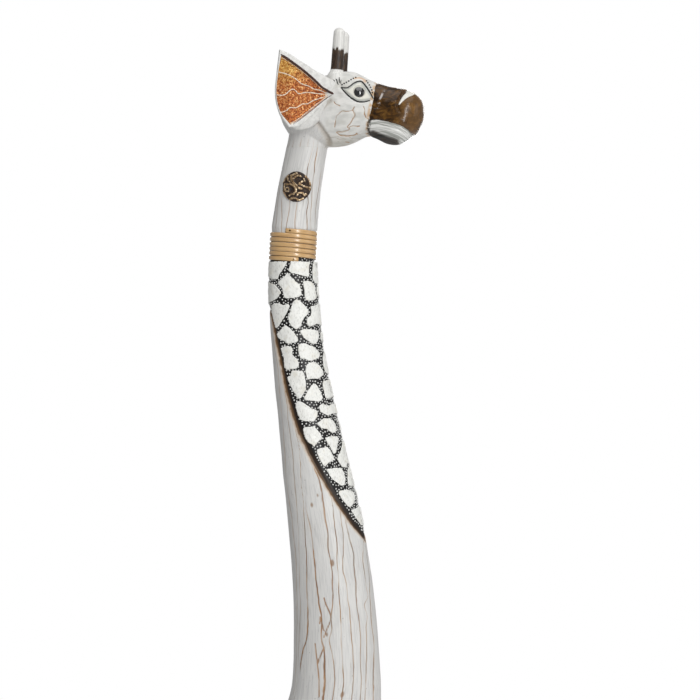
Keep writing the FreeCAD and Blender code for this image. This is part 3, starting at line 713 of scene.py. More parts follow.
# ================= ears =================
EAR_ROOT = (0.7, 27.5, 1126.0)
FLARE = math.radians(32.0)
COPPER_TOP = [(0.5, 0.2), (12.8, 7.6), (22.9, 15.2), (32.8, 22.4), (44.7, 30.0), (57.2, 37.0)]
COPPER_BACK = [(57.6, 37.4), (61.0, 19.0), (63.0, -2.5), (58.6, -20.4), (46.6, -34.0)]
COPPER_LOW = [(0.5, -0.2), (5.6, -2.0), (17.5, -11.8), (25.4, -18.2), (36.1, -26.6), (46.6, -33.4)]
RIM_TOP = [(-5.0, 12.5), (7.9, 19.0), (18.0, 23.6), (37.7, 34.4), (50.0, 40.8), (59.0, 44.0)]
RIM_BACK = [(59.0, 44.0), (62.1, 19.3), (63.8, -2.3), (59.5, -21.6), (49.0, -36.4)]
RIM_LOW = [(-5.0, 1.5), (4.0, -4.6), (14.6, -14.5), (25.8, -25.2), (37.5, -34.8), (49.0, -36.4)]
BACK_LOW = [(-5.0, -6.0), (6.0, -20.0), (16.9, -31.8), (26.0, -36.4), (38.0, -38.2), (50.5, -34.0)]
VEINS = [[(60.3, 20.6), (50.7, 19.2), (44.7, 16.9), (40.3, 14.6), (34.8, 10.4), (30.4, 8.8),
          (25.4, 7.6), (20.3, 5.0), (14.8, 4.3), (7.0, 1.6)],
         [(62.3, -3.2), (56.1, -3.3), (51.1, -1.5), (47.2, 2.0), (43.3, 3.9), (40.3, 2.3),
          (36.8, -0.6), (27.8, 1.2), (13.8, 0.2), (6.0, 0.1)],
         [(58.6, -20.7), (56.6, -21.0), (50.9, -18.8), (46.6, -15.6), (39.6, -15.3), (33.2, -11.3),
          (27.5, -10.8), (21.1, -7.1), (13.9, -4.6), (6.1, -1.6)],
         [(6.0, -2.6), (17.5, -10.9), (25.4, -17.3), (36.1, -25.8), (45.4, -32.0)],
         [(1.5, 1.6), (12.6, 6.6), (22.7, 14.4), (32.5, 21.6), (44.3, 29.2), (56.6, 36.0)]]
VEIN_WIDTHS = (0.66, 0.66, 0.66, 0.6, 0.42)
VEIN_BLOBS = [(45.6, -32.4, 1.5), (44.0, -30.9, 0.8)]
TOP_EDGING = [(58.4, 38.9), (50.0, 34.2), (44.7, 31.0), (32.8, 23.4), (22.9, 16.0), (12.8, 7.9),
              (5.4, 3.5), (0.3, 0.2)]
LOW_EDGING = [(1.6, -0.9), (8.0, -4.9), (17.5, -12.6), (25.4, -19.1), (36.1, -27.5), (44.4, -33.2)]
EAR_MIDDLE = np.array([32.0, 2.0])
# Steps over the rim, down the outside and in behind, as (share of the way, depth).
RIM_STEPS = (0.28, 0.42, 0.56, 0.7, 0.82)
SIDE_STEPS = ((0.12, -1.6), (0.3, -2.6), (0.52, -3.8), (0.75, -5.2), (0.92, -6.8), (1.0, -8.0))
BACK_STEPS = ((0.035, -9.2), (0.1, -10.1), (0.2, -10.7), (0.34, -11.2), (0.5, -11.5), (0.68, -11.7),
              (0.86, -11.8))
EAR_BACK, EAR_REACH = -11.8, 32.0
EAR_COLUMNS, EAR_ROWS = 96, 72


def even_curve(points, count):
    line = curve_through(points, 12)
    run = np.concatenate([[0], np.cumsum(np.hypot(*np.diff(line, axis=0).T))])
    want = np.linspace(0, run[-1], count)
    return np.stack([np.interp(want, run, line[:, k]) for k in (0, 1)], axis=1)


def fan(top, back, low, columns, rows):
    """Fills the three-sided face between an apex, two long edges and a bowed end."""
    top, low, back = even_curve(top, columns), even_curve(low, columns), even_curve(back, rows)
    u = np.linspace(0, 1, columns)[:, None, None]
    v = np.linspace(0, 1, rows)[None, :, None]
    ruled = (1 - v) * top[:, None] + v * low[:, None]
    bow = back[None] - ((1 - v) * top[-1] + v * low[-1])
    return ruled + u ** 1.5 * bow


def ear_depth(x, y):
    """How far the copper face sinks below the rim."""
    reach = np.clip(x / 60.0, 0, 1)
    across = np.clip((y + 0.62 * x) / (1.25 * x + 1e-6), 0, 1)
    return -2.4 - 1.7 * np.sin(math.pi * across) * reach


def loop_of(top, back, low):
    """The outline of the ear in order: low edge out, bowed end up, top edge back."""
    t, b, l = even_curve(top, EAR_COLUMNS), even_curve(back, EAR_ROWS), even_curve(low, EAR_COLUMNS)
    return np.vstack([l, b[::-1][1:], t[::-1][1:]])


def towards(a, b, share):
    return a + (b - a) * share


def shell(flat, depth):
    """The ear's shell thins towards its back edge."""
    return -0.8 + (depth + 0.8) * np.interp(flat[:, 0], [8.0, 62.0], [1.0, 0.24])


def build_ear(side, hand):
    root = np.array(place(EAR_ROOT[0], side * EAR_ROOT[1], EAR_ROOT[2]))
    along = np.array([side * math.sin(FLARE), math.cos(FLARE), 0.0])
    out = np.array([side * math.cos(FLARE), -math.sin(FLARE), 0.0])
    up = np.array([0, 0, 1.0])

    def lift(flat, depth):
        flat = np.asarray(flat, dtype=float)
        depth = np.broadcast_to(depth, flat.shape[:-1])
        return root + (flat[..., :1] * along + flat[..., 1:] * up + depth[..., None] * out) * MM

    face = fan(COPPER_TOP, COPPER_BACK, COPPER_LOW, EAR_COLUMNS, EAR_ROWS)
    column, row = np.arange(EAR_COLUMNS)[:, None], np.arange(EAR_ROWS)[None]
    edge_in = np.minimum(column[::-1], np.minimum(row, row[:, ::-1]))
    depth = ear_depth(face[..., 0], face[..., 1]) * np.clip(column / 8.0, 0, 1)
    depth = depth * np.interp(face[..., 0], [48, 60], [1.0, 0.35]) - 0.3
    depth = depth * (0.55 + 0.45 * np.clip(edge_in / 4.0, 0, 1))
    depth += noise(lift(face, depth).reshape(-1, 3), 0.0011, 31).reshape(depth.shape) * 0.16

    copper = loop_of(COPPER_TOP, COPPER_BACK, COPPER_LOW)
    rim = loop_of(RIM_TOP, RIM_BACK, RIM_LOW)
    back = loop_of(RIM_TOP, RIM_BACK, BACK_LOW)
    rings = [(towards(copper, rim, 0.04), -0.5, 0.45), (towards(copper, rim, 0.14), -0.05, 0.0)]
    rings += [(towards(copper, rim, t), 0.25 * math.sin(math.pi * t), 0.0) for t in RIM_STEPS]
    rings += [(towards(copper, rim, 0.93), -0.25, 0.0), (rim, -1.0, 0.0)]
    for start, end, steps in ((rim, back, SIDE_STEPS), (back, EAR_MIDDLE, BACK_STEPS)):
        for share, deep in steps:
            flat = towards(start, end, share)
            rings.append((flat, shell(flat, deep), 0.0))

    grid = np.arange(EAR_COLUMNS * EAR_ROWS).reshape(EAR_COLUMNS, EAR_ROWS)
    faces = [(grid[a, b], grid[a + 1, b], grid[a + 1, b + 1], grid[a, b + 1])
             for a in range(EAR_COLUMNS - 1) for b in range(EAR_ROWS - 1)]
    points, flags = [lift(face, depth).reshape(-1, 3)], [np.ones(grid.size)]
    previous = np.concatenate([grid[:, -1], grid[-1, ::-1][1:], grid[::-1, 0][1:]])
    count, total = len(previous), grid.size
    for flat, deep, flag in rings:
        points.append(lift(flat, deep))
        flags.append(np.full(count, flag))
        now = np.arange(total, total + count)
        total += count
        faces += [(previous[k - 1], now[k - 1], now[k], previous[k]) for k in range(count)]
        previous = now
    points.append(lift(EAR_MIDDLE[None], shell(EAR_MIDDLE[None], EAR_BACK)))
    flags.append(np.zeros(1))
    faces += [(previous[k - 1], total, previous[k]) for k in range(count)]
    points, flag = np.vstack(points), np.concatenate(flags)

    piece = new_piece("ear_" + hand + "_wood", points, faces)
    x, y, d = (points - root) @ along / MM, points[:, 2] / MM - EAR_ROOT[2], (points - root) @ out / MM
    far = np.interp(x, [40.0, 56.0], [1.0, 0.25])
    push_out(piece, noise(points, 0.009, 33) * 0.35 * (flag == 0) * far)
    attributes(piece, copper=flag, ear_place=np.stack([x, y, d], axis=1),
               straight=np.stack([d, y, x], axis=1), phase=y / 6.0, slant=FAR, knot=FAR)
    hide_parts("ear_" + hand)
    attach(piece, "root")

    tree = tree_of(piece.data, head.data)
    out_way = Vector(out)

    def on_ear(x, y):
        """The place on the ear's face, if the ear or head is there at all."""
        start = Vector(lift(np.array([x, y]), 20.0))
        spot, normal, index, reach = tree.ray_cast(start, -out_way)
        return spot if spot and reach < EAR_REACH * MM else None

    def paint(shape, line, width, flatten, sides=6):
        """Paints a line on the ear; width is a rule of the share of its length and the point's number."""
        path = [spot for spot in (on_ear(x, y) for x, y in curve_through(line, 5)) if spot]
        last = len(path) - 1
        widths = [width(k / last, k) for k in range(last + 1)]
        tube(shape, path, [out_way] * len(path), widths, lift=0.25, flatten=flatten, sides=sides)

    veins, edging = ([], []), ([], [])
    for line, wide in zip(VEINS, VEIN_WIDTHS):
        paint(veins, line, lambda t, k: wide * (0.8 + 0.3 * math.sin(k * 1.7 + wide * 40)), 0.8)
    for x, y, radius in VEIN_BLOBS:
        middle = on_ear(x, y) + out_way * 0.5 * MM
        drop(veins, middle, out_way, out_way.orthogonal().normalized(), radius, round_profile(1.0, 4), 10)
    paint(edging, TOP_EDGING, lambda t, k: 1.2 * min(1, t * 14 + 0.3, (1 - t) * 20 + 0.5), 0.45, 8)
    paint(edging, LOW_EDGING, lambda t, k: 0.45 * min(1, t * 6 + 0.2, 1.15 - t * 0.8), 0.4)
    return (piece, paint_piece("ear_" + hand + "_veins", veins),
            paint_piece("ear_" + hand + "_edging", edging))


ears = [build_ear(-1, "right"), build_ear(1, "left")]

# ================= horns =================
HORN_FOOT, HORN_TIP = (1.9, 13.0, 1148.6), (5.3, 12.8, 1198.0)
HORN_SINK, HORN_RADIUS, TIP_RADIUS = 7.0, 6.6, 6.1
STRAIGHT_SHARE = 0.82   # share of the rings on the straight part, the rest are on the round tip
HORN_RINGS, HORN_SIDES = 71, 48
horns = []
for side, hand in ((-1, "right"), (1, "left")):
    foot = np.array(place(HORN_FOOT[0], side * HORN_FOOT[1], HORN_FOOT[2]))
    axis = np.array(place(HORN_TIP[0], side * HORN_TIP[1], HORN_TIP[2])) - foot
    length = np.linalg.norm(axis) / MM - TIP_RADIUS
    axis /= np.linalg.norm(axis)
    one = np.cross(axis, [0, 1.0, 0])
    one /= np.linalg.norm(one)
    two = np.cross(axis, one)
    rings, middles, rise = [], [], []
    for t in np.arange(HORN_RINGS) / (HORN_RINGS - 1) / STRAIGHT_SHARE:
        if t < 1:
            h = t * (length + HORN_SINK) - HORN_SINK
            r = HORN_RADIUS - 0.5 * t + 3.0 * math.exp(-(max(h + 1.5, 0) / 3.8) ** 2)
        else:
            bend = (t - 1) / (1 / STRAIGHT_SHARE - 1) * math.pi / 2
            h = length + TIP_RADIUS * math.sin(bend)
            r = max(TIP_RADIUS * math.cos(bend), 0.02)
        middle = foot + axis * h * MM
        rings.append(circle(middle, one * r * MM, two * r * MM, HORN_SIDES))
        middles += [middle] * HORN_SIDES
        rise += [h] * HORN_SIDES
    shape = ([], [])
    add_rings(shape, rings)
    shape[1].pop()      # the last face, a disc 0.04 mm across at the tip, is left out
    spots, middles = np.array(shape[0]), np.array(middles)
    swell = noise(spots, (0.006, 0.006, 0.02), 41) * 0.25 / 6.5
    spots += (spots - middles) * swell[:, None]
    horn = new_piece("horn_" + hand + "_wood", spots, shape[1])
    attributes(horn, rise=rise, straight=(spots - foot) / MM)
    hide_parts("horn_" + hand)
    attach(horn, "root")
    horns.append(horn)

# ================= cane binding =================
SEAT_FOOT, SEAT_HEAD = (-48.2, 951.2), (-46.4, 986.6)
CANE_INNER, CANE_OUTER, CANE_WIDE = 23.4, 25.4, 4.9
CANE_PITCH, CANE_TURNS, CANE_START = 4.97, 6.1, 206.0
CANE_SIDE, CANE_LIFT = 0.5, 0.1     # square part of the strand's edge, and its gap to the seat's foot
ROUND_STEPS, STEPS_A_TURN = 12, 150
seat_foot = np.array(place(SEAT_FOOT[0], 0, SEAT_FOOT[1]))
seat_up = np.array(place(SEAT_HEAD[0], 0, SEAT_HEAD[1])) - seat_foot
seat_up /= np.linalg.norm(seat_up)
seat_side = np.array([1.0, 0, 0])
seat_front = np.cross(seat_up, seat_side)
half = CANE_WIDE / 2
bulge = CANE_OUTER - CANE_INNER - CANE_SIDE
profile = [(0.0, 0.15 - half)]
for k in range(ROUND_STEPS + 1):
    level = -math.cos(math.pi * k / ROUND_STEPS)
    profile.append((CANE_SIDE + bulge * math.sqrt(1 - abs(level) ** 3.4), level * half))
profile.append((0.0, half - 0.15))
segments = int(CANE_TURNS * STEPS_A_TURN)
rings, strand = [], []
for t in np.arange(segments + 1) / segments:
    a = math.radians(CANE_START - 360 * CANE_TURNS * t)
    outward = seat_side * math.cos(a) + seat_front * math.sin(a)
    swell = 0.10 * math.sin(t * 41) + 0.07 * math.sin(t * 97 + 1)
    lift = half + CANE_LIFT + CANE_PITCH * CANE_TURNS * t + 0.10 * math.sin(t * 29 + 2)
    taper = 0.6 + 0.4 * min(1, 0.35 + min(t, 1 - t) * 120)
    rings.append([seat_foot + (outward * (CANE_INNER + r * (1 + swell * 0.35) * taper)
                               + seat_up * (lift + w * (1 + swell * 0.1))) * MM for r, w in profile])
    strand += [(t * CANE_TURNS * 2 * math.pi * 25, w, 0) for r, w in profile]
shape = ([], [])
add_rings(shape, rings)
cane = new_piece("cane_strand", *shape)
attributes(cane, strand=strand)
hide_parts("cane_binding")
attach(cane, "root")

# ================= roundels =================
ROUNDEL_SPOT, ROUNDEL_BASE, ROUNDEL_SUNK = (-39.6, 1030.2), 1.0, 2.2
ROUNDEL_WIDE, ROUNDEL_TALL = 14.5, 16.1
# Raised strokes in the side view, as points from the middle, with half the stroke's width.
STROKES = [
    ([(-4.7, 12.2), (1.0, 14.6), (6.7, 12.2), (10.8, 7.3), (12.8, 2.0)], 0.95),
    ([(-3.5, 8.9), (1.0, 12.0), (5.9, 9.7), (7.9, 5.7)], 0.8),
    ([(5.1, 5.7), (2.2, 3.7)], 0.8),
    ([(-5.9, 12.2), (-5.5, 8.1), (-3.9, 4.9), (-0.6, 1.2)], 1.0),
    ([(-9.6, 9.6), (-9.0, 7.2), (-7.4, 5.6)], 0.7),
    ([(-10.4, 2.8), (-6.7, 3.2), (-2.2, 0.0), (-1.4, -4.5), (-3.5, -7.7)], 1.0),
    ([(-12.6, 3.4), (-13.2, 0.0), (-12.9, -3.4)], 0.6),
    ([(-8.3, -2.2), (-9.4, -0.6), (-11.4, -1.0), (-12.2, -3.0), (-10.8, -4.6), (-8.8, -4.4)], 0.6),
    ([(1.0, -0.8), (3.9, -2.0)], 1.1),
    ([(5.9, 0.8), (10.8, -0.8), (12.8, 0.0), (11.6, -2.8)], 0.85),
    ([(1.6, 2.6), (4.6, 2.0)], 0.6),
    ([(-1.4, -8.9), (1.4, -6.6), (4.7, -6.5), (6.7, -8.9)], 0.85),
    ([(-2.2, -11.8), (1.8, -14.0), (5.5, -12.2)], 0.85),
    ([(-7.1, -13.0), (-4.2, -11.6), (-1.4, -10.6), (0.2, -8.1)], 0.85),
    ([(-7.8, -9.2), (-5.6, -7.4)], 0.7),
    ([(-15.0, -3.6), (-14.6, -6.9), (-12.9, -10.2), (-8.7, -13.6)], 0.6),
    ([(7.9, -7.3), (10.8, -8.9), (13.2, -6.5)], 0.8),
    ([(9.4, -12.0), (12.6, -9.4)], 0.5),
    ([(-14.6, 5.0), (-12.4, 9.0), (-8.8, 12.6)], 0.5),
]
STROKE_SHIFT = np.array([1.2, -0.4])
ROUNDEL_RINGS, SPOKES = ((88, 240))
neck_tree = tree_of(neck.data)
roundels = []
for side, hand in ((-1, "right"), (1, "left")):
    turns = 2 * math.pi * np.arange(SPOKES) / SPOKES
    rounds = np.linspace(0.02, 1.0, ROUNDEL_RINGS)[:, None]
    x = np.append(0.0, rounds * ROUNDEL_WIDE * np.cos(turns))
    y = np.append(0.0, rounds * ROUNDEL_TALL * np.sin(turns))
    reach = np.hypot(x / ROUNDEL_WIDE, y / ROUNDEL_TALL)
    relief, gilt = np.zeros(len(x)), np.zeros(len(x))
    for line, half in STROKES:
        away = line_distance(x, y, curve_through(line + STROKE_SHIFT, 6))
        ridge = np.clip(1 - (away / (half + 1.5)) ** 2, 0, 1)
        relief = np.maximum(relief, ridge * (1.0 + half * 0.6))
        gilt = np.maximum(gilt, np.clip(1.45 - away / (half + 0.25), 0, 1))
    ring = np.sqrt(np.clip(1 - ((reach - 0.96) / 0.05) ** 2, 0, 1))
    flat = np.stack([x, y, x * 0], axis=1)
    worn = fade(noise(flat + [0, 0, side * 9], 6.0, 53), -0.1, 0.5)
    gilt = np.maximum(gilt * fade(noise(flat, 3.6, 54), -0.9, -0.1), ring * worn * 1.2)
    relief = np.maximum(relief, ring * 0.45) + noise(flat, 1.3, 51) * 0.12 + noise(flat, 0.5, 52) * 0.06
    edge = fade(reach, 0.97, 1.0)
    stand = (ROUNDEL_BASE + relief) * (1 - edge) + 0.35 * edge
    spots = []
    for px, py, up in zip(x, y, stand):
        start = place(ROUNDEL_SPOT[0] + px, side * 60, ROUNDEL_SPOT[1] + py)
        spot, normal, index, far = neck_tree.ray_cast(start, Vector((-side, 0, 0)))
        middle = float(np.interp(ROUNDEL_SPOT[1] + py, levels, centres))
        out = Vector((spot.x, spot.y - place(middle, 0, 0).y, 0)).normalized()
        spots.append(spot + out * up * MM)
    under = [spot - Vector((side * ROUNDEL_SUNK * MM, 0, 0)) for spot in spots[-SPOKES:]]
    hub = len(spots) + SPOKES
    spots += under + [sum(under, Vector()) / SPOKES]
    faces = [(0, 1 + j, 1 + (j + 1) % SPOKES) for j in range(SPOKES)]
    faces += ring_quads(ROUNDEL_RINGS + 1, SPOKES, 1)
    faces += [(hub - SPOKES + j, hub, hub - SPOKES + (j + 1) % SPOKES) for j in range(SPOKES)]
    roundel = new_piece("roundel_" + hand + "_relief", spots, faces)
    hidden = len(spots) - len(x)
    attributes(roundel, gilt=np.append(gilt, np.zeros(hidden)),
               flat=np.vstack([np.stack([x, y, stand], axis=1), np.zeros((hidden, 3))]))
    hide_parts("roundel_" + hand)
    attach(roundel, "root")
    roundels.append(roundel)

# ================= mosaic chips and grout dots =================
CHIP_VOXEL = 0.74
chip_skin = remeshed("chip_skin", ["mosaic_chips"], CHIP_VOXEL)
relax(chip_skin, 6)
chip_tree = tree_of(chip_skin)
chip_pieces = []
for side, hand in ((-1, "right"), (1, "left")):
    bm = bmesh.new()
    bm.from_mesh(chip_skin)
    slice_off(bm, (0, 0, 0), (-side, 0, 0))
    chips = capped("chips_" + hand, bm)
    points, normals = read_mesh(chips.data), read_normals(chips.data)
    axis = place(0, 0, 0)[1] - np.interp(points[:, 2] / MM, levels, centres) * MM
    out = np.stack([points[:, 0], points[:, 1] - axis], axis=1)
    out /= np.linalg.norm(out, axis=1)[:, None]
    facing = np.abs(np.sum(normals[:, :2] * out, axis=1))
    push = 0.5 - 0.75 * facing + noise(points, 0.0052, 61) * 0.34 + noise(points, 0.0022, 62) * 0.16
    push_out(chips, push * (np.abs(points[:, 0]) > 0.3 * MM))
    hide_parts("mosaic_chips")
    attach(chips, "root")
    chip_pieces.append(chips)

DOT_GAP, DOT_CLEAR = 2.75, 1.05
DOT_PROFILE = ((1.0, -0.35), (0.98, 0.12), (0.66, 0.62), 0.84)
NEIGHBOURS = list(itertools.product((-1, 0, 1), repeat=3))
spread = np.random.default_rng(7)
skin_points, skin_normals = read_mesh(neck.data), read_normals(neck.data)
skin_height = measures(skin_points)[2]
bearing = np.degrees(np.arctan2(skin_points[:, 1] - seat_foot[1], skin_points[:, 0]))
cane_foot = SEAT_FOOT[1] + CANE_LIFT + CANE_PITCH * ((CANE_START - bearing) % 360) / 360
ground = (inside_panel(skin_points) > 1.6) & (skin_height < cane_foot - 0.5)
ground &= (np.abs(skin_height - SEAT_FOOT[1]) > 0.7) & (np.abs(skin_normals[:, 2]) < 0.6)
order = spread.permutation(np.repeat(np.flatnonzero(ground), 5))
slide = spread.uniform(-0.8, 0.8, (len(order), 3)) * MM
dots = {-1: ([], []), 1: ([], [])}
taken = {}
for index, shift in zip(order, slide):
    normal = skin_normals[index]
    spot = skin_points[index] + shift - normal * np.dot(shift, normal)
    key = np.floor(spot / (DOT_GAP * MM)).astype(int)
    near = [other for step in NEIGHBOURS for other in taken.get(tuple(key + step), ())]
    if any(np.sum((other - spot) ** 2) < (DOT_GAP * MM) ** 2 for other in near):
        continue
    if chip_tree.find_nearest(Vector(spot), DOT_CLEAR * MM)[0] is not None:
        continue
    if chip_tree.ray_cast(Vector(spot + normal * 6 * MM), Vector(-normal), 6 * MM)[0] is not None:
        continue
    taken.setdefault(tuple(key), []).append(spot)
    out = Vector(normal)
    one = out.cross(Vector((0, 0, 1))).normalized()
    drop(dots[1 if spot[0] >= 0 else -1], Vector(spot), out, one, 0.72 + 0.26 * spread.random(),
         DOT_PROFILE, 6)
dot_pieces = [paint_piece("grout_dots_" + hand, dots[side])
              for side, hand in ((-1, "right"), (1, "left"))]


# ================= materials =================
def rgb(red, green, blue):
    """A colour from 0-255 screen values."""
    parts = [((v / 255 + 0.055) / 1.055) ** 2.4 if v > 10 else v / 255 / 12.92
             for v in (red, green, blue)]
    return (*parts, 1.0)


class Signal:
    """A number worked out by material nodes; arithmetic on it adds nodes."""

    def __init__(self, fin, socket):
        self.fin, self.socket = fin, socket

    def __add__(self, other):
        return self.fin.math("ADD", self, other)

    def __sub__(self, other):
        return self.fin.math("SUBTRACT", self, other)

    def __mul__(self, other):
        return self.fin.math("MULTIPLY", self, other)

    def __abs__(self):
        return self.fin.math("ABSOLUTE", self)


class Finish:
    """A node material put together step by step. Colours are sockets or (red, green, blue) of 0-255."""

    def __init__(self, name, rough=0.5, metallic=0.0, specular=0.5, coat=0.0, coat_rough=0.1):
        self.material = bpy.data.materials.new(name)
        self.material.use_nodes = True
        self.tree = self.material.node_tree
        self.tree.nodes.clear()
        self.surface = self.node("OutputMaterial").inputs["Surface"]
        self.skin = self.node("BsdfPrincipled")
        self.put(self.surface, self.skin.outputs["BSDF"])
        for key, value in (("Roughness", rough), ("Metallic", metallic), ("Specular IOR Level", specular),
                           ("Coat Weight", coat), ("Coat Roughness", coat_rough)):
            self.skin.inputs[key].default_value = value

    def node(self, kind):
        return self.tree.nodes.new("ShaderNode" + kind)

    def put(self, socket, value):
        value = getattr(value, "socket", value)
        if isinstance(value, bpy.types.NodeSocket):
            self.tree.links.new(value, socket)
        elif isinstance(value, tuple) and len(value) == 3:
            socket.default_value = rgb(*value)
        else:
            socket.default_value = value

    def attr(self, name, vector=False):
        node = self.node("Attribute")
        node.attribute_name = name
        return node.outputs["Vector"] if vector else Signal(self, node.outputs["Fac"])

    def own_place(self):
        return self.node("TexCoord").outputs["Object"]

    def split(self, vector):
        node = self.node("SeparateXYZ")
        self.put(node.inputs[0], vector)
        return [Signal(self, socket) for socket in node.outputs]

    def math(self, operation, *values):
        node = self.node("Math")
        node.operation = operation
        for socket, value in zip(node.inputs, values):
            self.put(socket, value)
        return Signal(self, node.outputs[0])

    def step(self, value, low, high, start=0.0, end=1.0):
        node = self.node("MapRange")
        node.interpolation_type = "SMOOTHSTEP"
        for key, given in (("Value", value), ("From Min", low), ("From Max", high),
                           ("To Min", start), ("To Max", end)):
            self.put(node.inputs[key], given)
        return Signal(self, node.outputs[0])

    def scaled(self, vector, sizes, shift):
        node = self.node("Mapping")
        self.put(node.inputs["Vector"], vector)
        node.inputs["Scale"].default_value = 1.0 / np.broadcast_to(sizes, 3)
        node.inputs["Location"].default_value = shift
        return node.outputs["Vector"]

    def noise(self, vector, sizes, detail, shift=(0.0, 0.0, 0.0), rough=0.5, warp=0.0):
        """Noise from 0 to 1; sizes are the widths of one swell, as one number or three."""
        node = self.node("TexNoise")
        self.put(node.inputs["Vector"], self.scaled(vector, sizes, shift))
        for key, value in (("Scale", 1.0), ("Detail", detail), ("Roughness", rough), ("Distortion", warp)):
            node.inputs[key].default_value = value
        return Signal(self, node.outputs["Fac"])

    def cells(self, vector, sizes):
        node = self.node("TexVoronoi")
        self.put(node.inputs["Vector"], self.scaled(vector, sizes, (0.0, 0.0, 0.0)))
        node.inputs["Scale"].default_value = 1.0
        return node.outputs

    def ramp(self, value, *stops):
        """Colours along a value, each as (position, red, green, blue)."""
        node = self.node("ValToRGB")
        self.put(node.inputs["Fac"], value)
        elements = node.color_ramp.elements
        while len(elements) < len(stops):
            elements.new(0.5)
        for element, (position, *colour) in zip(elements, stops):
            element.position = position
            element.color = rgb(*colour)
        return node.outputs["Color"]

    def mix(self, share, one, two):
        node = self.node("Mix")
        node.data_type = "RGBA"
        for place, value in ((0, share), (6, one), (7, two)):
            self.put(node.inputs[place], value)
        return node.outputs[2]

    def over(self, base, colour, value, low, high, start=0.0, end=1.0):
        """Lays a colour over base, from start to end of its strength as value goes from low to high."""
        return self.mix(self.step(value, low, high, start, end), base, colour)

    def finish(self, colour, height=None, depth=0.3, rough=None, metallic=None):
        for key, value in (("Base Color", colour), ("Roughness", rough), ("Metallic", metallic)):
            if value is not None:
                self.put(self.skin.inputs[key], value)
        if height is not None:
            node = self.node("Bump")
            node.inputs["Strength"].default_value = 1.0
            node.inputs["Distance"].default_value = depth * MM
            self.put(node.inputs["Height"], height)
            self.put(self.skin.inputs["Normal"], node.outputs["Normal"])
        return self.material


WHITE, GREY_WHITE, TAN, BROWN_LINE = (224, 223, 220), (208, 207, 205), (172, 128, 84), (138, 100, 66)


def lines(fin, phase, field, sway, half):
    """Thin wandering lines where phase plus noise crosses a whole number; 1 on the line."""
    moved = phase + (field - 0.5) * sway
    return fin.step(abs(fin.math("FRACT", moved) - 0.5), half * 0.35, half, 1.0, 0.0)


def whitewash(fin):
    """Colour, height and cracks of white paint rubbed over wood, with open cracks along the grain."""
    straight, free = fin.attr("straight", True), fin.attr("free")
    slow = fin.noise(straight, (34.0, 34.0, 95.0), 1.0)
    quick = fin.noise(straight, (9.0, 9.0, 15.0), 2.0, (8.0, 3.0, 1.0))
    patch = fin.noise(straight, (26.0, 26.0, 70.0), 1.0, (5.0, 19.0, 11.0))
    shade = fin.noise(straight, (12.0, 12.0, 40.0), 2.0, (2.0, 3.0, 29.0))
    phase = fin.attr("phase") + (quick - 0.5) * 0.16
    sway = free * 1.3
    first = lines(fin, phase, slow, sway, 0.082) * fin.step(free, 0.25, 0.75, 1.0, 0.0)
    spaced = lines(fin, (phase + 0.5) * 0.5, slow, sway * 0.5, 0.045)
    spaced = spaced * fin.step(patch, 0.42, 0.60, 1.0, 0.25) * fin.step(free, 0.0, 0.2)
    first = fin.math("MAXIMUM", first, spaced) * fin.step(shade, 0.30, 0.50, 0.3, 1.0)
    first = first * fin.attr("strength")
    hair = lines(fin, phase * 1.73, slow, 0.9, 0.05) * fin.step(shade, 0.56, 0.66, 0.0, 0.4)
    hair = hair * fin.step(free, 0.0, 0.3, 1.0, 0.0)
    slant = fin.step(fin.attr("slant"), 0.4, 1.2, 0.9, 0.0)
    crack = fin.math("MAXIMUM", first, fin.math("MAXIMUM", hair, slant))
    grain = fin.noise(straight, (1.3, 1.3, 40.0), 3.0, rough=0.6)
    wide = fin.noise(straight, (6.0, 6.0, 80.0), 2.0, (9.0, 1.0, 4.0))
    fleck = fin.noise(straight, (0.9, 0.9, 9.0), 2.0, (1.0, 7.0, 2.0))
    blot = fin.noise(straight, (18.0, 18.0, 40.0), 3.0, (3.0, 3.0, 3.0))
    speck = fin.cells(straight, (11.0, 11.0, 14.0))["Distance"]
    paint = fin.over(GREY_WHITE, WHITE, grain, 0.32, 0.56)
    paint = fin.over(paint, (200, 200, 200), wide, 0.30, 0.50, 0.3, 0.0)
    paint = fin.over(paint, (212, 207, 198), blot, 0.60, 0.80, 0.0, 0.3)
    paint = fin.over(paint, (138, 134, 130), fleck, 0.68, 0.76, 0.0, 0.4)
    paint = fin.over(paint, (120, 112, 104), speck, 0.035, 0.06, 0.5, 0.0)
    tone = fin.over(TAN, BROWN_LINE, shade, 0.46, 0.60)
    tone = fin.over(tone, (100, 82, 66), patch, 0.56, 0.68, 0.0, 0.6)
    colour = fin.mix(crack * 0.95, paint, tone)
    colour = fin.over(colour, (150, 116, 84), fin.attr("knot"), -0.8, 0.7, 0.8, 0.0)
    return colour, grain * 0.14 - crack * 0.8, crack


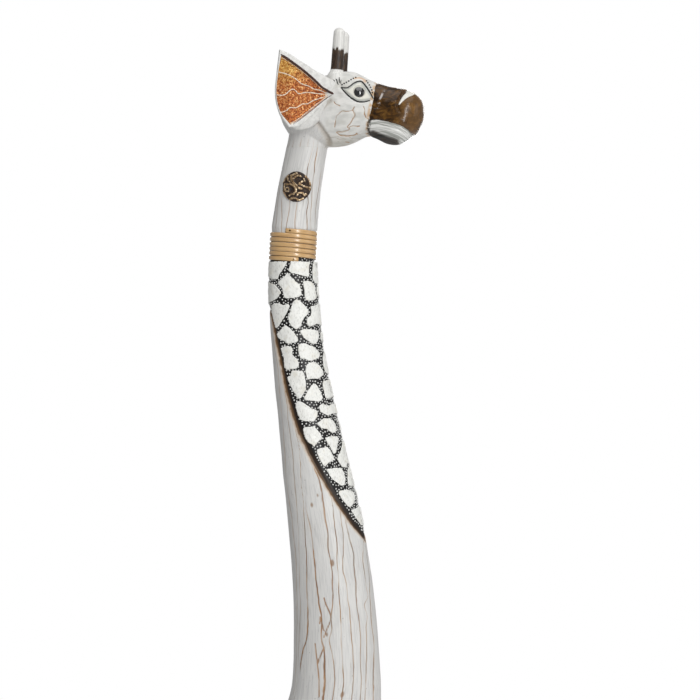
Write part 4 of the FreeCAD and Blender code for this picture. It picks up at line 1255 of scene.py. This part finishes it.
def wood_finish(name, hoofs=False):
    """Whitewashed wood, with the black ground of the mosaic and its burnt edge, and brown hooves."""
    fin = Finish(name, rough=0.46, specular=0.42)
    colour, height, crack = whitewash(fin)
    rough = fin.step(crack, 0.0, 1.0, 0.44, 0.75)
    straight, panel = fin.attr("straight", True), fin.attr("panel")
    wobble = fin.noise(straight, 6.0, 2.0)
    edge = panel + (wobble - 0.5) * 3.0
    burnt = fin.mix(wobble, (66, 44, 20), (118, 82, 40))
    colour = fin.over(colour, (192, 154, 106), edge, -4.6, -1.0, 0.0, 0.55)
    colour = fin.over(colour, burnt, edge, -2.0, -0.2, 0.0, 0.95)
    colour = fin.over(colour, (42, 27, 15), edge, 0.0, 2.4)
    ground = fin.over((12, 11, 11), (40, 38, 37), fin.noise(straight, 2.0, 3.0), 0.62, 0.78)
    colour = fin.over(colour, ground, panel, 3.4, 5.2)
    if hoofs:
        hoof = fin.attr("hoof")
        brown = fin.ramp(fin.noise(straight, (7.0, 7.0, 12.0), 4.0),
                         (0.3, 46, 27, 14), (0.5, 84, 54, 28), (0.72, 122, 84, 46))
        colour = fin.over(colour, burnt, hoof, -1.8, -0.7, 0.0, 0.8)
        colour = fin.over(colour, brown, hoof, -0.5, 0.2)
        share = fin.step(hoof, -0.4, 0.3)
        rough = rough + (rough * -1.0 + 0.16) * share
    return fin.finish(colour, height, 0.30, rough)


def dress(material, *objects):
    for obj in objects:
        obj.data.materials.clear()
        obj.data.materials.append(material)


dress(wood_finish("whitewashed_neck"), neck)
dress(wood_finish("whitewashed_torso"), torso)
dress(wood_finish("whitewashed_leg", hoofs=True), *legs)
dress(wood_finish("whitewashed_tail", hoofs=True), tail)

# ---- head ----
fin = Finish("painted_head", rough=0.46, specular=0.3)
colour, height, crack = whitewash(fin)
ahead, eye = fin.attr("ahead"), fin.attr("eye")
face, lip_place = fin.attr("face", True), fin.attr("lip", True)
up = fin.split(face)[1]
smooth_white = fin.over((208, 208, 204), (228, 227, 223), fin.noise(face, (9.0, 5.0, 12.0), 3.0), 0.32, 0.62)
furrow = abs(fin.math("FRACT", fin.noise(face, (60.0, 2.6, 34.0), 1.0) * 7.0) - 0.5)
furrow = fin.step(furrow, 0.03, 0.12, 1.0, 0.0) * fin.step(up, -28.0, -20.0, 0.75, 0.0)
smooth_white = fin.mix(furrow, smooth_white, (168, 156, 138))
# The lowest part of the cheek turns tan-grey: a painted shade under the jaw.
smooth_white = fin.over(smooth_white, (184, 172, 152), up, -40.0, -24.0, 0.5, 0.0)
patchy = fin.noise(face, 16.0, 2.0, (9.0, 2.0, 1.0))
smooth_white = fin.over(smooth_white, (196, 194, 186), patchy, 0.46, 0.66, 0.0, 0.55)
before_nape = fin.step(ahead, -52.0, -40.0)
colour = fin.mix(before_nape, colour, smooth_white)
height = height * fin.step(before_nape, 0.0, 1.0, 1.0, 0.15)
face_crack = fin.step(fin.attr("cracks"), 0.15, 0.72, 1.0, 0.0)
faint = fin.step(fin.noise(face, 7.0, 2.0, (3.0, 1.0, 5.0)), 0.34, 0.54, 0.6, 1.0)
colour = fin.mix(face_crack * faint, colour, (176, 140, 106))
# The creases and the mouth line are painted brown-grey: a painted shade in them.
colour = fin.over(colour, (150, 134, 114), fin.attr("crease"), 0.3, 5.0, 0.5, 0.0)
flake = fin.noise(face, 5.0, 3.0)
colour = fin.over(colour, (216, 182, 152), fin.attr("brow") + flake * 2.4, 1.6, 3.2, 0.85, 0.0)
# The eye white greys towards its outline: a painted shade along the lids.
eye_white = fin.over((188, 190, 184), (228, 226, 215), eye, 1.2, 4.2)
colour = fin.over(colour, eye_white, eye, 0.0, 1.0)
strip = fin.step(ahead, -4.0, -1.8) * fin.step(ahead, -0.3, 0.1, 1.0, 0.0) * fin.step(flake, 0.38, 0.56)
colour = fin.mix(strip * 0.9, colour, (204, 170, 132))
thin_streak = fin.noise(lip_place, (16.0, 0.9, 30.0), 2.0)
streak = fin.noise(lip_place, (34.0, 2.3, 60.0), 1.0)
lip = fin.over((168, 170, 164), (234, 234, 230), streak, 0.38, 0.58)
lip = fin.over(lip, (140, 138, 130), thin_streak, 0.60, 0.72, 0.0, 0.5)
colour = fin.over(colour, lip, ahead, 0.1, 0.7)
brown = fin.ramp(fin.noise(face, (9.0, 7.0, 9.0), 5.0, rough=0.62, warp=0.6),
                 (0.32, 26, 14, 4), (0.44, 54, 34, 10), (0.56, 86, 57, 20), (0.70, 118, 84, 36))
# The front of the muzzle is painted a lighter brown: a painted highlight.
brown = fin.over(brown, (146, 110, 70), ahead, 24.0, 42.0, 0.0, 0.35)
fibre = fin.noise(face, (1.1, 9.0, 2.6), 3.0, rough=0.6)
brown = fin.over(brown, (52, 32, 18), fibre, 0.52, 0.70, 0.0, 0.5)
on_muzzle = fin.step(fin.attr("muzzle") + (flake - 0.5) * 1.6, -0.1, 0.3)
colour = fin.mix(on_muzzle, colour, brown)
jaw = fin.attr("jaw") + (thin_streak - 0.5) * 5.0
jaw_brown = fin.over((12, 6, 3), (62, 42, 24), thin_streak, 0.42, 0.66)
colour = fin.over(colour, jaw_brown, jaw, -0.8, 2.4, 0.0, 0.94)
colour = fin.over(colour, (226, 224, 216), fin.attr("nostril"), -0.15, 0.25)
# A pale streak down the muzzle: a painted reflection of a lamp on its lacquer.
scuffed = fin.step(fin.attr("scuff"), 0.5, 1.6, 0.75, 0.0) * fin.step(flake, 0.42, 0.60)
colour = fin.mix(scuffed, colour, (206, 200, 196))
corner = fin.step(ahead, 0.8, 3.2, 1.0, 0.0) * fin.step(ahead, -2.6, -1.0)
corner = corner * fin.step(up, -11.5, -8.5, 1.0, 0.0) * fin.step(up, -25.5, -23.5)
colour = fin.mix(corner * fin.step(flake, 0.46, 0.53, 0.0, 0.9), colour, (38, 26, 18))
gloss = fin.step(ahead, 0.1, 0.8, 0.45, 0.2)
gloss = gloss + (gloss * -1.0 + 0.75) * fin.step(jaw, -0.8, 2.4)
lacquer = fin.noise(face, (3.2, 3.2, 5.0), 2.0) * on_muzzle
dress(fin.finish(colour, height + lacquer * 1.2 - face_crack, 0.3, gloss), head)

# ---- ears ----
fin = Finish("painted_ear", rough=0.44, specular=0.5)
colour, height, crack = whitewash(fin)
where = fin.attr("ear_place", True)
out, up, deep = fin.split(where)
copper = fin.step(fin.attr("copper"), 0.35, 0.6)
plain = fin.over((208, 207, 203), (232, 231, 227), fin.noise(where, 4.0, 3.0), 0.35, 0.65)
glint, dull, grit = fin.split(fin.cells(where, 0.85)["Color"])
cloud, coarse = fin.noise(where, 9.0, 3.0), fin.noise(where, 1.9, 2.0)
tint = glint * 0.46 + cloud * 0.3 + fin.step(coarse, 0.32, 0.68, -0.02, 0.34)
copper_colour = fin.ramp(tint, (0.16, 74, 28, 12), (0.34, 134, 62, 24), (0.52, 176, 94, 38),
                         (0.70, 202, 126, 60), (0.88, 236, 186, 128))
gold = fin.ramp(tint, (0.2, 150, 88, 30), (0.5, 206, 146, 58), (0.8, 242, 208, 124))
corner = fin.step(up + cloud * 16.0, 14.0, 34.0, 0.0, 0.85) * fin.step(out, 22.0, 52.0)
copper_colour = fin.mix(corner, copper_colour, gold)
colour = fin.mix(copper, fin.mix(0.7, colour, plain), copper_colour)
rough = (dull * 0.35 - 0.2) * copper + 0.45
ear_finish = fin.finish(colour, height * 0.3 + grit * copper, 0.22, rough, copper * 0.45)

# ---- horns ----
fin = Finish("painted_horn", rough=0.36, specular=0.5)
straight, rise = fin.attr("straight", True), fin.attr("rise")
bristle = fin.noise(straight, (1.2, 1.2, 16.0), 3.0, rough=0.6)
dry = fin.noise(straight, (0.9, 0.9, 7.0), 3.0, (4.0, 4.0, 4.0))
band = fin.step(rise + (bristle - 0.5) * 14.0, 25.6, 27.4, 1.0, 0.0)
band = band * fin.step(rise + (dry - 0.5), 4.4, 5.2)
paint = fin.over((214, 213, 209), (236, 235, 231), bristle, 0.38, 0.62)
dark_wood = fin.ramp(dry, (0.30, 24, 15, 10), (0.50, 48, 32, 20), (0.70, 98, 74, 46))
rough = fin.step(band, 0.0, 1.0, 0.42, 0.5)
dress(fin.finish(fin.mix(band, paint, dark_wood), bristle * 0.5 - band, 0.2, rough), *horns)

# ---- cane ----
fin = Finish("rattan_cane", rough=0.3, specular=0.8, coat=1.0, coat_rough=0.2)
strand = fin.attr("strand", True)
fibre = fin.noise(strand, (60.0, 0.42, 1.0), 3.0, rough=0.6)
blush = fin.noise(strand, (22.0, 3.0, 1.0), 2.0, (7.0, 0.0, 0.0))
colour = fin.ramp(fibre, (0.26, 168, 124, 70), (0.46, 208, 164, 104), (0.70, 236, 200, 144))
colour = fin.over(colour, (196, 150, 98), blush, 0.46, 0.72, 0.0, 0.45)
leaf_scar = fin.cells(strand, (34.0, 5.0, 1.0))["Distance"]
colour = fin.over(colour, (92, 58, 32), leaf_scar, 0.035, 0.06, 0.8, 0.0)
# Both edges of the strand are painted darker brown: a painted shade in the gaps between turns.
colour = fin.over(colour, (108, 72, 40), abs(fin.split(strand)[1]), 1.9, 2.45, 0.0, 0.85)
dress(fin.finish(colour, fibre, 0.16, fin.step(fibre, 0.2, 0.8, 0.36, 0.26)), cane)

# ---- roundels ----
fin = Finish("gilded_bronze", rough=0.36, specular=0.5)
grime = fin.noise(fin.attr("flat", True), 1.6, 4.0)
shine = fin.step(fin.attr("gilt") - grime * 0.35, 0.24, 0.66)
ground = fin.over((30, 19, 12), (66, 42, 22), grime, 0.4, 0.65)
leafing = fin.ramp(grime, (0.34, 92, 66, 42), (0.50, 168, 138, 100), (0.66, 244, 224, 190))
rough = fin.step(shine, 0.0, 1.0, 0.5, 0.34)
dress(fin.finish(fin.mix(shine, ground, leafing), grime, 0.2, rough, shine * 0.5), *roundels)

# ---- chips ----
fin = Finish("shell_chip", rough=0.38, specular=0.45)
place_on_chip = fin.own_place()
cloud = fin.noise(place_on_chip, 0.009, 4.0)
scratch = fin.noise(place_on_chip, (0.0016, 0.0016, 0.0030), 4.0, rough=0.6)
colour = fin.over((218, 218, 212), (246, 246, 241), scratch, 0.30, 0.52)
colour = fin.over(colour, (226, 218, 196), cloud, 0.52, 0.72, 0.0, 0.35)
dress(fin.finish(colour, scratch + cloud, 0.3, fin.step(scratch, 0.3, 0.7, 0.5, 0.3)), *chip_pieces)


# ---- small things: paint lines and dots, eyes, brads and the plain wood inside ----
def speckled(name, sizes, detail, low, high, depth, noise_rough=0.5, gloss=None, **look):
    """Two colours that run into each other in fine speckles, sized in millimetres."""
    fin = Finish(name, **look)
    speckle = fin.noise(fin.own_place(), np.multiply(sizes, MM), detail, rough=noise_rough)
    rough = fin.step(speckle, *gloss) if gloss else None
    return fin.finish(fin.ramp(speckle, low, high), speckle, depth, rough)


vein_finish = speckled("cream_line_paint", 1.1, 2.0, (0.3, 222, 196, 170), (0.6, 244, 232, 214), 0.15,
                       rough=0.5, specular=0.4)
edging_finish = speckled("dark_edging_paint", 1.6, 2.0, (0.35, 38, 16, 10), (0.7, 74, 36, 22), 0.1,
                         rough=0.42, specular=0.4)
eye_finish = speckled("black_glass", 0.8, 3.0, (0.45, 8, 8, 9), (0.8, 30, 30, 33), 0.02,
                      gloss=(0.4, 0.8, 0.05, 0.14), rough=0.06, specular=0.9, coat=1.0, coat_rough=0.03)
ink_finish = speckled("black_line_paint", 1.5, 3.0, (0.35, 9, 9, 10), (0.75, 34, 33, 33), 0.1,
                      rough=0.4, specular=0.4)
brad_finish = speckled("brass_brad", 1.0, 3.0, (0.3, 70, 52, 34), (0.7, 150, 118, 74), 0.1,
                       rough=0.35, metallic=0.9)
dowel_finish = speckled("raw_dowel_wood", (1.2, 1.2, 30.0), 3.0, (0.3, 150, 108, 66),
                        (0.7, 206, 168, 120), 0.2, noise_rough=0.6, rough=0.7, specular=0.3)
for ear, vein, edging in ears:
    dress(ear_finish, ear)
    dress(vein_finish, vein)
    dress(edging_finish, edging)
dress(ink_finish, ink_piece)
fin = Finish("white_dot_paint", rough=0.45, specular=0.4)
speckle = fin.noise(fin.own_place(), 0.002, 2.0)
dress(fin.finish(fin.over((228, 228, 224), (250, 250, 247), speckle, 0.3, 0.7), speckle, 0.1), *dot_pieces)
CAD_FINISHES = {"eye_left": eye_finish, "eye_right": eye_finish, "binding_brads": brad_finish,
                "ear_pegs": dowel_finish, "head_dowel": dowel_finish,
                "neck_torso_dowel": dowel_finish, "leg_dowels": dowel_finish}
for name, finish in CAD_FINISHES.items():
    obj = nodes[name]
    if not obj.material_slots:
        obj.data.materials.append(finish)
    for slot in obj.material_slots:
        slot.material = finish

# ================= floor, light and camera =================
FLOOR_LOW, FLOOR_HIGH = (0.80, 0.80, 0.80, 1), (0.84, 0.84, 0.84, 1)
bm = bmesh.new()
bmesh.ops.create_circle(bm, cap_ends=True, segments=128, radius=9.0)
mesh = bpy.data.meshes.new("floor")
bm.to_mesh(mesh)
bm.free()
floor = add_object("floor", mesh)
fin = Finish("pale_floor", rough=0.8, specular=0.1)
spot = fin.own_place()
distance = fin.node("VectorMath")
distance.operation = "LENGTH"
fin.put(distance.inputs[0], spot)
fin.finish(fin.mix(fin.noise(spot, 0.4, 2.0), FLOOR_LOW, FLOOR_HIGH))
glow = fin.node("Emission")
blend = fin.node("MixShader")
seen = Signal(fin, fin.node("LightPath").outputs["Is Camera Ray"])
fin.put(blend.inputs[0], fin.step(distance.outputs["Value"], 0.35, 1.3) * seen)
fin.put(blend.inputs[1], fin.skin.outputs["BSDF"])
fin.put(blend.inputs[2], glow.outputs[0])
fin.put(fin.surface, blend.outputs[0])
dress(fin.material, floor)

world = bpy.data.worlds.new("studio")
world.use_nodes = True
bpy.context.scene.world = world
tree = world.node_tree
sky = tree.nodes["Background"]
path = tree.nodes.new("ShaderNodeLightPath")
level = tree.nodes.new("ShaderNodeMapRange")
level.inputs["To Min"].default_value = 0.27
level.inputs["To Max"].default_value = 1.0
tree.links.new(path.outputs["Is Camera Ray"], level.inputs["Value"])
tree.links.new(level.outputs[0], sky.inputs["Strength"])
sky.inputs["Color"].default_value = (1, 1, 1, 1)

TARGET = place(14, 0, 858)
CAMERA_WAY, CAMERA_DISTANCE = Vector((-0.9848, -0.1736, 0)), 2.2


def facing(obj, aim):
    """Turns a lamp or camera towards a point."""
    obj.rotation_euler = (Vector(aim) - obj.location).to_track_quat("-Z", "Y").to_euler()


def area_light(name, bearing, distance, height, aim, size, power):
    """A soft panel; bearing is in degrees about the statue from +X."""
    lamp = bpy.data.lights.new(name, "AREA")
    lamp.shape = "RECTANGLE"
    lamp.size, lamp.size_y = size
    lamp.energy = power
    obj = add_object(name, lamp)
    a = math.radians(bearing)
    obj.location = (distance * math.cos(a), distance * math.sin(a), height)
    facing(obj, aim)


area_light("key_panel", 211, 2.2, 1.45, (0, -0.08, 1.1), (0.36, 1.5), 23)
area_light("front_fill", 268, 2.8, 1.4, (0, -0.08, 0.9), (1.6, 1.6), 7.5)
area_light("far_fill", 4, 3.0, 1.6, (0, -0.08, 0.8), (2.0, 2.0), 34)
area_light("overhead", 205, 0.7, 3.0, (0, 0, 0), (2.4, 2.4), 26)

data = bpy.data.cameras.new("camera")
data.sensor_width = 36.0
data.lens = 106.7
camera = add_object("camera", data)
camera.location = TARGET + CAMERA_WAY * CAMERA_DISTANCE
facing(camera, TARGET)
bpy.context.scene.camera = camera
bpy.context.scene.view_settings.view_transform = "Standard"

bpy.context.view_layer.update()
